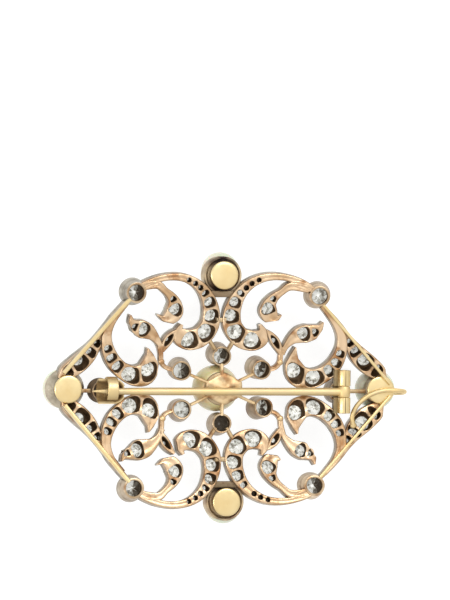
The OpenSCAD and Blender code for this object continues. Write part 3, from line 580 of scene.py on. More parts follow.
class Tree:
    """Calls that add nodes to a node tree and link them."""

    def __init__(self, tree):
        self.nodes, self.links = tree.nodes, tree.links

    def feed(self, node, inputs):
        """Sets the inputs of a node: each to a value, or to the socket that it is linked to."""
        for key, value in inputs.items():
            if isinstance(value, bpy.types.NodeSocket):
                self.links.new(value, node.inputs[key])
            else:
                node.inputs[key].default_value = value

    def node(self, kind, inputs, out=0, **settings):
        """Adds a node, and gives the socket that comes out of it."""
        node = self.nodes.new("ShaderNode" + kind)
        for key, value in settings.items():
            setattr(node, key, value)
        self.feed(node, inputs)
        return node.outputs[out]

    def noise(self, scale, detail=3.0, stretch=None):
        """A noise on Object coordinates, its scale in features a metre, stretched where asked."""
        where = self.node("TexCoord", {}, "Object")
        if stretch:
            where = self.node("Mapping", {"Vector": where, "Scale": stretch})
        return self.node("TexNoise", {"Vector": where, "Scale": scale, "Detail": detail}, "Fac")

    def number(self, fac, low, high, from_low=0.0, from_high=1.0):
        """A number that runs from low to high as fac does from from_low to from_high."""
        return self.node("MapRange", {"Value": fac, "From Min": from_low, "From Max": from_high,
                                      "To Min": low, "To Max": high}, "Result")

    def cloud(self, scale, detail, low, high, from_low, from_high, stretch=None):
        """A number that a noise moves from low to high."""
        return self.number(self.noise(scale, detail, stretch), low, high, from_low, from_high)

    def ramp(self, fac, stops):
        """A colour ramp with stops (position, colour)."""
        colour = self.node("ValToRGB", {"Fac": fac}, "Color")
        elements = colour.node.color_ramp.elements
        while len(elements) < len(stops):
            elements.new(0.5)
        for e, (position, rgb) in zip(elements, stops):
            e.position, e.color = position, (*rgb, 1)
        return colour

    def mix(self, fac, a, b):
        """Colour a where fac is 0, colour b where it is 1. a, b: sockets or plain colours."""
        a, b = ((*c, 1) if isinstance(c, tuple) else c for c in (a, b))
        return self.node("Mix", {0: fac, 6: a, 7: b}, 2, data_type="RGBA")

    def times(self, a, b):
        """The product of two sockets."""
        return self.node("Math", {0: a, 1: b}, operation="MULTIPLY")

    def attribute(self, name):
        """A value that the mesh carries."""
        return self.node("Attribute", {}, "Fac", attribute_name=name)

    def bump(self, height, distance, strength=0.6):
        """A normal that follows a height."""
        return self.node("Bump", {"Height": height, "Distance": distance, "Strength": strength}, "Normal")


def new_material(name):
    """A material, the tree that makes it and its shader."""
    m = bpy.data.materials.new(name)
    m.use_nodes = True
    return m, Tree(m.node_tree), m.node_tree.nodes["Principled BSDF"]


def tinted(colour, *factors):
    """A colour times a factor for each of its parts, or one factor for all."""
    return tuple(v * w for v, w in zip(colour, factors * (3 // len(factors))))


def worn_metal(name, bright, deep, silver, dark, rough=(0.3, 0.46), burnt=None, brush=None,
               bump_mm=0.012):
    """A hand-finished metal: two tones of the same gold with burnt patches, silver where the piece
    says so and one dark for old dirt and painted shade where it says inside, with a fine uneven polish."""
    m, t, shader = new_material(name)
    tone = t.mix(t.cloud(380, 5, 0, 1, 0.36, 0.6), deep, bright)
    if burnt:
        tone = t.mix(t.cloud(620, 4, 0, 0.85, 0.52, 0.66), tone, burnt)
    front = t.mix(t.cloud(700, 4, 0, 1, 0.35, 0.65), tinted(silver, 0.4), silver)
    # Old dirt and painted shade in one mottled dark
    dirt_and_shade = t.mix(t.cloud(1500, 3, 0, 1, 0.4, 0.6), dark, tinted(dark, 2.0))
    inside = t.attribute("inside")
    t.feed(shader, {
        "Base Color": t.mix(inside, t.mix(t.attribute("silver"), tone, front), dirt_and_shade),
        "Metallic": t.number(inside, 1, 0, 0.35, 0.9),
        "Specular IOR Level": t.number(inside, 0.5, 0, 0.3, 0.8),
        "Roughness": t.cloud(2600, 3, *rough, 0.3, 0.7, brush),
        "Normal": t.bump(t.noise(1900, 4, brush), bump_mm * MM)})
    return m


def diamond_material(name, stops, glow):
    """Old-cut stone seen from behind: each facet has a painted reflection, its own grey of the stops,
    some of the light comes through, and glow paints the light that the front facets send back."""
    m, t, shader = new_material(name)
    flash = t.times(t.attribute("facet"), t.cloud(2600, 2, 0.5, 1.5, 0.35, 0.65))
    colour = t.ramp(t.times(flash, t.number(t.attribute("inside"), 1, 0)), stops)
    t.feed(shader, {"Base Color": colour, "Emission Color": colour, "Emission Strength": glow,
                    "Roughness": 0.06, "IOR": 2.1, "Specular IOR Level": 0.15, "Transmission Weight": 0.2})
    return m


def nacre_material(name, colour):
    """Pearl: cream nacre with faint green and rose clouds and a deep soft gloss."""
    m, t, shader = new_material(name)
    green, rose = tinted(colour, 0.9, 1.0, 0.86), tinted(colour, 1.06, 0.97, 0.92)
    t.feed(shader, {
        "Base Color": t.mix(t.cloud(260, 3, 0, 1, 0.36, 0.64), green, rose),
        "Roughness": 0.28, "Specular IOR Level": 0.6, "Coat Weight": 0.5, "Coat Roughness": 0.12,
        "Subsurface Weight": 0.15, "Subsurface Scale": 0.6 * MM,
        "Normal": t.bump(t.noise(900, 3), 0.01 * MM, 0.4)})
    return m


def colour_setting(name, description, *rgb):
    """A colour that can be changed in the panel."""
    return bpy.props.FloatVectorProperty(
        name=name, description=description, subtype="COLOR", size=3, default=rgb, min=0, max=1)


def length_setting(name, description, mm, least, most):
    """A length that can be changed in the panel, from the least to the most."""
    return bpy.props.FloatProperty(
        name=name, description=description, default=mm * MM, min=least * MM, max=most * MM,
        unit="LENGTH")


class BroochColours(bpy.types.PropertyGroup):
    """Colours of the metals, the dirt and painted shade, and the pearls"""
    rose_gold: colour_setting("Rose gold", "Polished tone of the pierced plates", 0.82, 0.61, 0.4)
    rose_deep: colour_setting("Deep rose gold", "Deeper tone of the pierced plates", 0.58, 0.38, 0.21)
    burnt: colour_setting("Burnt gold", "Orange-brown patches left by the solder's heat", 0.4, 0.19, 0.075)
    pale_gold: colour_setting("Pale gold", "Polished tone of the discs, pin and hinge", 0.9, 0.73, 0.4)
    silver: colour_setting("Silver", "Tone of the silver front layer", 0.55, 0.52, 0.44)
    # One dark colour, for the old dirt and for the painted shade in windows, bores and hollows
    dirt_and_shade: colour_setting("Blackened depth", "Tone of the old dirt inside the windows", 0.06, 0.036, 0.019)
    pearl: colour_setting("Pearl", "Body colour of the pearls", 0.62, 0.62, 0.5)


class BroochSizes(bpy.types.PropertyGroup):
    """Sizes that can change without a change to the CAD frame"""
    knuckle_r: length_setting("Knuckle radius", "Outer radius of the hinge's knuckles", 0.78, 0.5, 1)
    disc_r: length_setting("Disc radius", "Radius of the discs on the backs of the cups", 1.74, 1.5, 1.9)
    grain_r: length_setting("Grain radius", "Radius of the grains that hold the stones", 0.13, 0.05, 0.2)
    floor_size: length_setting("Table size", "Side of the pale table under the brooch", 6000, 500, 20000)


MATERIALS = {}


def make_materials(c):
    """Every finish, made once."""
    rose, deep, pale, burnt = tuple(c.rose_gold), tuple(c.rose_deep), tuple(c.pale_gold), tuple(c.burnt)
    silver, dirt_and_shade = tuple(c.silver), tuple(c.dirt_and_shade)
    pale_deep = tinted(pale, 0.93, 0.88, 0.8)
    # In each worn metal the colour after silver is the dark that stands for old dirt and for painted shade
    MATERIALS.update({
        "plate": worn_metal("rose_gold_faced_with_silver", rose, deep, silver, dirt_and_shade, burnt=burnt),
        "collet": worn_metal("collet_metal", (0.8, 0.62, 0.41), (0.5, 0.34, 0.19), silver, dirt_and_shade,
                             burnt=burnt),
        "pale": worn_metal("pale_gold_polished", pale, pale_deep, silver, dirt_and_shade, (0.28, 0.4),
                           bump_mm=0.004),
        "satin": worn_metal("pale_gold_satin", tinted(pale, 0.84, 0.82, 0.84), pale_deep, silver,
                            (0.13, 0.075, 0.028), (0.4, 0.55), bump_mm=0.006),
        "pin": worn_metal("pale_gold_drawn", tinted(pale, 0.86, 0.86, 0.92), pale_deep, silver, dirt_and_shade,
                          (0.52, 0.62), brush=(0.15, 1, 1), bump_mm=0.004),
        "cast": worn_metal("cast_gold", (0.86, 0.67, 0.41), (0.74, 0.52, 0.27), silver,
                           (0.035, 0.024, 0.022), (0.42, 0.58), burnt=burnt, bump_mm=0.04),
        "diamond": diamond_material("diamond", [
            (0.0, (0.04, 0.028, 0.018)), (0.2, (0.2, 0.18, 0.15)), (0.38, (0.55, 0.55, 0.5)),
            (0.55, (0.82, 0.83, 0.79)), (0.85, (0.98, 0.99, 0.96))], 0.4),
        "nacre": nacre_material("nacre", tuple(c.pearl)),
        "nacre_centre": nacre_material("nacre_in_shade", tinted(c.pearl, 1.12, 0.9, 0.66)),
    })


class BROOCH_OT_plates(bpy.types.Operator):
    """The pierced scroll plates, leaves and stems, gold behind and silver in front"""
    bl_idname = "brooch.plates"
    bl_label = "Pierced plates"

    def execute(self, context):
        for i, name in enumerate(["upper_left", "upper_right", "lower_left", "lower_right"]):
            q, stray = QUARTERS[i], STRAY[i]
            shape = Shape()
            for k, (rows, windows) in enumerate(DRAWING):
                back, thickness = (-LEAF_DROP, LEAF_T) if k == END_LEAF_ROW else (0.0, PLATE_T)
                ribbon_plate(shape, strayed(rows, stray[k]), slid(windows, stray[k]), q, back, thickness)
            ribbon_plate(shape, STEM, [], q, -0.01, STEM_T, 0.4)
            bent = np.array(WEB) + np.array([*stray[0][:2], 0]) * 0.5
            ribbon_plate(shape, bent, [], q, 0.003, STEM_T, 0.0)
            shape.build("plate_" + name, "plate", node="openwork" if i == 0 else None)
        return {"FINISHED"}


class BROOCH_OT_stones(bpy.types.Operator):
    """The brilliants of the plates and collets"""
    bl_idname = "brooch.stones"
    bl_label = "Stones"

    def execute(self, context):
        rng = np.random.default_rng(11)
        for i, q in enumerate(QUARTERS):
            field = Shape()
            for k, w, p, r in stones_of(i):
                stone, one = brilliant(r, rng.uniform(0, 2 * np.pi)), Shape()
                main = (k, w) in MAIN_STONES
                # The round ones at the thin end of the scrolls get painted shade, most of all at the right
                dark = (0.45, 0.95)[i % 2] if k == 0 and w < 3 else 0.0
                (one if main else field).add(stone, lambda points: in_quarter(q, points + p), inside=dark)
                if main:
                    name = f"main_stone_{i + 1}_{MAIN_STONES.index((k, w)) + 1}"
                    self.finish_stone(one, "brilliant_" + name, name)
            name = f"small_stones_{i + 1}"
            self.finish_stone(field, "brilliants_" + name, name)
        # Painted shade on the pavilions of stones deep in their collets; the large numbers make them dark
        # all over
        pavilion_shade = {"corner_stone_2": 0.15, "inner_stone_3": 0.15, "inner_stone_6": 3.0, "end_stone_left": 3.0}
        for title, ends, rows, (height, _, front_r) in (
                ("corner_stone_", "1234", CORNER_COLLETS, CORNER_FORM),
                ("inner_stone_", "123456", INNER_COLLETS, INNER_FORM),
                ("end_stone_", ("left", "right"), END_COLLETS, END_FORM)):
            for end, row in zip(ends, rows):
                one = Shape().add(brilliant(front_r - 0.2, rng.uniform(0, 2 * np.pi)),
                                  lambda points: in_collet(row, points + [0, 0, 0.35 - height]))
                self.finish_stone(one, "brilliant_" + title + end, title + end, pavilion_shade.get(title + end, 1.0))
        return {"FINISHED"}

    def finish_stone(self, shape, name, node, pavilion_shade=0.0):
        """Builds a stone; its pavilion gets painted shade, from the right side on, deep in a collet, as
        much as asked.
        """
        obj = shape.build(name, "diamond", "diamond", node, sharp=0)
        faces = obj.data.polygons
        middle = np.empty(3 * len(faces))
        faces.foreach_get("center", middle)
        middle = middle.reshape(-1, 3) - middle.reshape(-1, 3).mean(axis=0)
        glint = np.empty(len(faces), np.float32)
        layer = obj.data.attributes["facet"]
        layer.data.foreach_get("value", glint)
        to_right = middle[:, 0] / np.abs(middle[:, 0]).max()
        dark = np.clip(pavilion_shade * (0.25 + 1.6 * to_right + max(pavilion_shade - 1, 0)), 0, 0.98)
        glint *= 1 - dark * (middle[:, 2] > 0)
        layer.data.foreach_set("value", glint)


class BROOCH_OT_grains(bpy.types.Operator):
    """The small silver grains raised round each stone on the front"""
    bl_idname = "brooch.grains"
    bl_label = "Grains"

    def execute(self, context):
        grain = context.scene.brooch_sizes.grain_r / MM
        bead = lathe(oval(grain, -grain, np.radians([8, 40, 70, 100])), 8)
        shape = Shape()
        for i, q in enumerate(QUARTERS):
            for _, _, p, r in stones_of(i):
                count = 4 if r > 0.33 else 3
                for a in np.arange(count) * 2 * np.pi / count + 0.4:
                    reach = r + 0.02
                    spot = p + [reach * math.cos(a), reach * math.sin(a), 0.05 - GIRDLE_OVER_FRONT]
                    shape.add(bead, lambda points: in_quarter(q, points + spot), 1.0)
        shape.build("front_grains", "plate")
        return {"FINISHED"}


class BROOCH_OT_collets(bpy.types.Operator):
    """The tapered collets, open at the back, with a turned edge at the front"""
    bl_idname = "brooch.collets"
    bl_label = "Collets"

    def execute(self, context):
        rng = np.random.default_rng(5)
        shape, phi = Shape(), around(48)
        wear_and_shade = iter(COLLET_WEAR_AND_SHADE)
        for rows, (height, back_r, front_r), bore_r in (
                (CORNER_COLLETS, CORNER_FORM, BORE_R), (INNER_COLLETS, INNER_FORM, BORE_R),
                (END_COLLETS, END_FORM, END_BORE_R)):
            stone_r = front_r - 0.16 + SEAT_GAP
            flare = front_r - back_r
            # Columns: radius, height, how silver it is, how dark it is (a seam halfway, and dirt with
            # painted shade in the seat and bore), how much of the wear and darkening it takes
            form = np.array([
                [back_r - 0.07, 0.0, 0, 0, 0.25], [back_r - 0.02, -0.03, 0, 0, 0.6],
                [back_r, -0.11, 0.1, 0, 1], [back_r + 0.45 * flare, -0.45 * height, 0.4, 0.05, 1],
                [back_r + 0.5 * flare - 0.015, -0.49 * height, 0.6, 0.5, 1],
                [back_r + 0.55 * flare + 0.01, -0.53 * height, 1, 0.05, 1],
                [front_r, 0.1 - height, 1, 0, 1], [front_r - 0.04, 0.02 - height, 1, 0, 1],
                [stone_r - 0.02, -height, 1, 0, 1], [stone_r - 0.06, 0.1 - height, 1, 0.3, 1],
                [stone_r, 0.2 - height, 1, 0.6, 0], [stone_r, 0.5 - height, 1, 1, 0],
                [bore_r + 0.03, 1.5 - height, 0.5, 1, 0], [bore_r, 1.7 - height, 0, 1, 0],
                [bore_r, -0.12, 0, 1, 0], [bore_r + 0.03, -0.02, 0, 0.4, 0]])
            silver, inside, body = form[:, 2:].T
            for row in rows:
                grey, tarnish_and_shade = next(wear_and_shade)
                a, b = rng.uniform(0, 2 * np.pi, 2)
                c, d = rng.uniform(0.004, 0.014, 2)
                wobble = 1 + c * np.sin(2 * phi + a) + d * np.sin(3 * phi + b)
                tube = lathe(form[:, :2], len(phi), wobble, closed=True)
                shape.add(tube, lambda points: in_collet(row, points),
                          np.repeat(np.maximum(silver * (0.35 + 0.65 * grey), grey * body), len(phi)),
                          np.repeat(np.maximum(inside, tarnish_and_shade * body), len(phi)))
        shape.build("collets", "collet")
        return {"FINISHED"}


class BROOCH_OT_boss(bpy.types.Operator):
    """The cast boss behind the centre pearl, with six corners, and its knife-edge wires"""
    bl_idname = "brooch.boss"
    bl_label = "Boss and wires"

    def execute(self, context):
        # The boss: six corners joined by sides that swell a little, drawn in rings from its middle.
        # Its back is a low relief: ridges run to the corners, and lumps of sines cover the rest.
        a = np.radians([25, 90, 155, 205, 270, 335])
        corner = np.stack([2.45 * np.cos(a), 2.0 * np.sin(a)], 1)
        t = (np.arange(14) / 14)[None, :, None]
        edge = (1 - t) * corner[:, None] + t * np.roll(corner, -1, 0)[:, None]
        edge = (edge * (1 + 0.03 * np.sin(np.pi * t))).reshape(-1, 2)
        ridge = np.tile(np.cos(np.pi * t.ravel()) ** 2, 6)
        # Columns: share of the way out, height of the ridges, drop between them, darkness (painted shade
        # down the edge)
        rings = np.array([
            [0.01, 5.74, 0, 0], [0.14, 5.74, 0.01, 0], [0.28, 5.74, 0.02, 0], [0.42, 5.73, 0.035, 0],
            [0.56, 5.72, 0.04, 0], [0.7, 5.7, 0.04, 0], [0.84, 5.67, 0.03, 0], [0.94, 5.62, 0.01, 0],
            [1.0, 5.52, 0, 0.1], [1.01, 5.4, 0, 0.3], [0.98, 5.2, 0, 0.5], [0.96, 5.08, 0, 0.6]])
        xy = rings[:, :1, None] * edge
        x, y = xy[..., 0], xy[..., 1]
        lumps = 0.03 * np.sin(3.1 * x + 1) * np.cos(4.3 * y) * (rings[:, :1] < 0.9)
        z = rings[:, 1:2] - rings[:, 2:3] * (1 - ridge) + lumps
        # Random stains on the cast back
        darkening = 0.4 * np.clip(1.6 * np.sin(2.2 * x - 0.6) * np.sin(3.4 * y + 0.4) - 0.5, 0, 1)
        boss = np.concatenate([xy, z[..., None]], -1), skin(len(rings), len(edge))
        seat = lathe([[1.9, 5.32], [1.98, 5.28], [2.06, 5.1], [2.08, 5.06]], 72)
        shape = Shape().add(boss, [0.45, 0.1, 0], inside=np.maximum(rings[:, 3:], darkening).ravel())
        # The seat under the boss's edge, darkened as painted shade
        shape.add(seat, [0.12, 0.1, 0], inside=0.45).build("centre_boss", "cast")

        wires = Shape()
        blade = np.array([[-0.15, -0.7], [0.15, -0.7], [0.19, -0.35], [0.18, -0.1], [0.1, 0.0],
                          [-0.1, 0.0], [-0.18, -0.1], [-0.19, -0.35]])
        for row in INNER_COLLETS:
            a, b = np.array([0.3, 0.1, 5.55]), np.array([row[0], row[1], 5.55])
            wires.add(straight(a + 0.3 * (b - a), a + 0.78 * (b - a), blade))
        for side in (1, -1):
            for to in (1, -1):
                wires.add(straight([0.15 + to * 0.7, side * 4.7, 5.5], [0.1 + to * 1.5, side * 6.0, 5.6],
                                   1.3 * blade), inside=0.3)
        for x0, x1 in ((-17.9, -16.0), (16.5, 18.9)):
            wires.add(straight([x0, PIN_Y, 4.6], [x1, PIN_Y, 4.6], rounded_box(0.5, 0.5, 0.1) - [0, 0.27]),
                      inside=0.35)
        # The long solder under the top and bottom cups is darkened as painted shade between the scrolls;
        # the short solder less
        for x, y, z, dx, dy, dz in SOLDER:
            a = np.array([x, y + dy / 2, z + dz / 2])
            wires.add(straight(a, a + [dx, 0, 0], rounded_box(dy, dz, 0.15)),
                      inside=0.72 if dx > 2 else 0.3)
        bead = lathe(oval(0.39, 0.28, np.radians(np.linspace(6, 174, 9))), 18)
        for q in QUARTERS:
            spot = [*warp(q, np.array(STEM[2][:2])), -0.12]
            wires.add(bead, lambda points: in_quarter(q, points + spot))
        wires.build("joining_wires", "cast")
        return {"FINISHED"}


class BROOCH_OT_cups(bpy.types.Operator):
    """The cups behind the four outer pearls, with their domed discs and rings"""
    bl_idname = "brooch.cups"
    bl_label = "Cups"

    def execute(self, context):
        for n, row in enumerate(CUPS):
            self.disc(n, row[:3], context.scene.brooch_sizes.disc_r / MM)
            self.shell(n, *row)
        return {"FINISHED"}

    def disc(self, n, place, r):
        """The domed disc on the back of a cup."""
        profile = [[0.02, 0.0], [0.5, -0.002], [0.9, -0.01], [1.25, -0.025], [r - 0.2, -0.05],
                   [r - 0.08, -0.085], [r - 0.02, -0.14], [r, -0.22], [r - 0.01, -0.38], [r - 0.07, -0.46],
                   [r - 0.2, -0.5]]
        phi = around(96)
        wobble = 1 + 0.006 * np.sin(2 * phi + n) + 0.004 * np.sin(5 * phi + 2 * n)
        disc = Shape().add(lathe(profile, len(phi), wobble), place)
        disc.build("disc_" + CUP_NAMES[n], "pale", "pale_gold")

    def shell(self, n, x, y, top, px, py, d, ringed):
        """A part of a hollow sphere behind the pearl, the stalk of the disc, and its ring, if any."""
        shell, r = Shape(), d / 2
        rim = 0.8 if n > 0 else math.acos(1.1 / (r + CUP_WALL))
        arc = oval(1, 1, np.linspace(0.3, rim, 14))
        # The shell is darker next to the disc, more so behind a ring: painted shade under the disc
        top_dark, low_dark = (0.75, 0.45) if ringed else (0.4, 0.05)
        arc = np.concatenate([(r + CUP_WALL) * arc, (r + SEAT_GAP) * arc[::-1]])
        shell.add(lathe(arc, 72, closed=True), [px, py, r], 0.8,
                  np.repeat([top_dark] * 6 + [low_dark] * 8 + [0] * 14, 72))
        low, high = r + 1.5, top - 0.45
        rise = high - low
        stalk = [[1.35, low], [1.28, low + 0.3 * rise], [1.22, low + 0.7 * rise], [1.3, high]]
        # The stalk under the disc, darkened as painted shade
        shell.add(lathe(stalk, 48), [(x + px) / 2, (y + py) / 2, 0], 0.1, 0.75)
        if ringed:
            low, high = r + 1.1, top - 1.0
            out, wall = 2.36, 0.28
            ring = [[out - 0.03, low], [out, low + 0.05], [out, high - 0.1], [out - 0.04, high - 0.02],
                    [out - wall / 2, high], [out - wall + 0.04, high - 0.02], [out - wall, high - 0.1],
                    [out - wall, low]]
            # Painted shade by angle: darkest at the top, and at the bottom where the top ring meets the
            # scrolls
            phi = around(96)
            below = 1.0 if n == 2 else 0.25
            turn = (0.16 - 0.1 * np.cos(phi)
                    + 0.8 * np.where(np.sin(phi) > 0, 1.0, below) * np.abs(np.sin(phi)) ** 1.5)
            shade = np.outer([0.5, 0.7, 0.85, 1, 1, 1, 1, 1], turn + 0.12 * np.sin(9 * phi))
            wobble = 1 + 0.008 * np.sin(2 * phi + 1)
            shell.add(lathe(ring, len(phi), wobble, closed=True), [x, y, 0], 0.35, shade.ravel())
            # The uneven floor of the trough between the ring and the disc, with the ring's painted shade
            # and more
            floor = [[1.3, high - 0.5], [1.6, high - 0.42], [1.85, high - 0.5], [2.05, high - 0.4],
                     [2.1, high - 0.6], [1.3, high - 0.7]]
            wobble = 1 + 0.02 * np.sin(9 * phi) * np.sin(4 * phi)
            shell.add(lathe(floor, len(phi), wobble, closed=True), [x, y, 0], 0.1,
                      np.tile(0.1 + turn, len(floor)))
        shell.build("cup_" + CUP_NAMES[n], "cast")


class BROOCH_OT_pearls(bpy.types.Operator):
    """The five pearls, each slightly out of round"""
    bl_idname = "brooch.pearls"
    bl_label = "Pearls"

    def execute(self, context):
        for n, (_, _, _, px, py, d, _) in enumerate(CUPS):
            self.pearl("pearl_" + CUP_NAMES[n], d / 2, [px, py, d / 2], n)
        self.pearl("pearl_centre", 2.9, [-0.1, 0.1, 2.95], 4, "nacre_centre", 5.0)
        return {"FINISHED"}

    def pearl(self, node, r, centre, seed, finish="nacre", cut=math.inf):
        """A sphere whose radius is lowered by long low waves, with a flat back where it is cut."""
        t, p = np.meshgrid(np.linspace(0.004, np.pi - 0.004, 49), around(72), indexing="ij")
        rr = r * (1 - 0.006 * (1 + np.sin(2 * t + seed) * np.cos(2 * p + seed)) * np.sin(t) ** 2)
        out = rr * np.sin(t)
        points = np.stack([out * np.cos(p), out * np.sin(p), rr * np.cos(t)], -1) + centre
        points[..., 2] = np.minimum(points[..., 2], cut)
        Shape().add((points, skin(*t.shape))).build("nacre_" + node, finish, "pearl", node, sharp=60)


class BROOCH_OT_bars(bpy.types.Operator):
    """The straight bars from the corner collets to the end cups, and the wire eye"""
    bl_idname = "brooch.bars"
    bl_label = "Bars and eye"

    def execute(self, context):
        shape, count = Shape(), 24
        for q, (ax, ay, bx, by, width) in zip(QUARTERS, BARS):
            section = rounded_box(width, 0.95, 0.12) - [0, 0.475]
            silver = np.where(section[:, 1] < -0.45, 1.0, 0.0)
            # Painted shade on the bar's sides below its top
            darkening = np.where(section[:, 1] < -0.2, 0.4, 0.0)
            shape.add(straight([ax, ay, 0.25], [bx, by, 0.25], section, count),
                      lambda points: in_quarter(q, points), np.tile(silver, count), np.tile(darkening, count))
        shape.build("side_bars", "pale")

        eye, phi = Shape(), around(16)
        wire = 0.29 * np.stack([np.cos(phi), np.sin(phi)], -1)
        eye.add(sweep(at(EYE_PATH, np.linspace(0, len(EYE_PATH) - 1, 81)), wire, up=(0.2, -0.9, 0.4)))
        eye.add(lathe(oval(0.42, 0.3, np.linspace(0.02, np.pi - 0.02, 15)), 24), [16.95, -4.4, 5.55])
        eye.build("wire_eye", "pin")
        return {"FINISHED"}


def on_rivet(points):
    """Points of a form turned about z, laid along the hinge's rivet."""
    return points[..., [0, 2, 1]] + [HINGE_X, PIN_Y, PIN_Z]


class BROOCH_OT_hinge(bpy.types.Operator):
    """The hinge's base, its two rolled knuckles with their seams, and the rivet"""
    bl_idname = "brooch.hinge"
    bl_label = "Hinge"

    def execute(self, context):
        shape = Shape()
        tube = self.rolled(context.scene.brooch_sizes.knuckle_r / MM, 0.31, 0.04)
        foot_x, inner_end, outer_end, soft = HINGE_X - 0.2, 0.72, 2.67, 0.05
        # Stations along a knuckle, whose rounded ends narrow a little
        a = np.linspace(0, np.pi / 2, 4)
        rise = soft * (1 - np.cos(a))
        s = np.concatenate([rise, outer_end - inner_end - rise[::-1]])
        scale = 0.93 + 0.07 * np.concatenate([np.sin(a), np.sin(a[::-1])])
        for side in (1, -1):
            y = PIN_Y + side * inner_end
            path = np.stack([np.full(len(s), HINGE_X), y + side * s, np.full(len(s), PIN_Z)], -1)
            shape.add(sweep(path, tube, scale=scale))
            # The base beside the knuckles, darkened as painted shade
            shape.add(straight([foot_x, y, 5.475], [foot_x, PIN_Y + side * outer_end, 5.475],
                               rounded_box(1.9, 1.15, 0.08), 5), inside=0.75)
        # The base's lower plate, darkened as painted shade
        shape.add(straight([foot_x, PIN_Y - outer_end, 5.125], [foot_x, PIN_Y + outer_end, 5.125],
                           rounded_box(1.9, 0.45, 0.08), 9), inside=0.8)
        shape.build("hinge_base", "pale")

        a = np.radians(np.linspace(5, 90, 6))
        half = np.stack([0.3 * np.sin(a), 2.72 - 0.08 * (1 - np.cos(a))], 1)
        rivet = Shape().add(lathe(np.concatenate([half * [1, -1], half[::-1]]), 24), on_rivet)
        rivet.build("rivet", "pin", "pale_gold", "hinge_rivet")
        return {"FINISHED"}

    @staticmethod
    def rolled(outer, inner, gap):
        """A ring section with a slit at the top, where the rolled sheet meets itself."""
        half = gap / outer
        a = np.linspace(np.pi / 2 + half, np.pi / 2 + 2 * np.pi - half, 40)
        ring = np.stack([np.cos(a), np.sin(a)], -1)
        return np.concatenate([outer * ring, inner * ring[::-1]])


class BROOCH_OT_pin(bpy.types.Operator):
    """The tapered pin stem with its own knuckle"""
    bl_idname = "brooch.pin"
    bl_label = "Pin"

    def execute(self, context):
        x = np.array([-16.4, -16.32, -14.2, -8.2, -3.0, 15.1])
        r = np.array([0.03, 0.085, 0.4, 0.48, 0.48, 0.5])
        xs = np.concatenate([np.linspace(a, b, 9)[:-1] for a, b in zip(x[:-1], x[1:])] + [x[-1:]])
        shape = Shape()
        shape.add(lathe(np.stack([np.interp(xs, x, r), xs], -1), 40),
                  lambda points: points[..., [2, 1, 0]] + [0, PIN_Y, PIN_Z])
        out = context.scene.brooch_sizes.knuckle_r / MM - 0.04
        ring = [[0.34, -0.68], [0.34, 0.68], [out - 0.06, 0.68], [out, 0.6], [out, -0.6],
                [out - 0.06, -0.68]]
        shape.add(lathe(ring, 56, closed=True), on_rivet)
        shape.build("pin", "pin", "pale_gold", "pin_stem", body="pin")
        return {"FINISHED"}


class BROOCH_OT_catch(bpy.types.Operator):
    """The trough under the pin and the band that bends over it"""
    bl_idname = "brooch.catch"
    bl_label = "Catch"

    def execute(self, context):
        shape = Shape()
        wall, end_x = 0.34, -13.7
        mid = 1.55 - wall / 2

        def facing(path, section, dark, up=(0, 0, 1)):
            """A wall, the side that faces the pin darkened as painted shade."""
            inside = np.where(section[:, 0] < 0, dark, 0.0)
            shape.add(sweep(path, section, up), inside=np.tile(inside, len(path)))

        def bent(start, stop, count, x, y, section, dark):
            """A wall bent about the pin's line."""
            a = np.radians(np.linspace(start, stop, count))
            path = np.stack([np.full(count, x), y + mid * np.cos(a), PIN_Z + mid * np.sin(a)], -1)
            facing(path, section, dark, up=(1, 0, 0))

        # The trough: an arc of sheet under the pin, open at the top and at the left
        bent(176, 364, 40, end_x - 0.975, PIN_Y, rounded_box(wall, 1.95, 0.1), 0.85)
        # Its round right end: a wall that stands on half a circle, lower where the pin passes
        for low, high, start, stop in ((4.7, 6.5, -90, -27), (4.7, 5.75, -30, 30), (4.7, 6.5, 27, 90)):
            a = np.radians(np.linspace(start, stop, 18))
            section = rounded_box(wall, high - low, 0.08)
            height = np.full(len(a), (low + high) / 2)
            path = np.stack([end_x + mid * np.cos(a), PIN_Y + mid * np.sin(a), height], -1)
            facing(path, section, 0.95)
        # The floor of the round end, darkened as painted shade
        shape.add(lathe([[1.3, 4.72], [1.34, 4.8], [1.34, 5.1], [1.3, 5.15]], 48), [end_x, PIN_Y, 0],
                  inside=1.0)
        # The band: from the trough over the pin, its end free
        bent(220, 509, 56, -14.025, PIN_Y + 0.25, rounded_box(wall, 1.35, 0.12), 0.7)
        # The foot under the trough, darkened as painted shade
        shape.add(straight([-15.35, PIN_Y, 4.925], [end_x, PIN_Y, 4.925], rounded_box(3.0, 0.45, 0.1)),
                  inside=0.6)
        shape.build("catch", "satin")
        return {"FINISHED"}


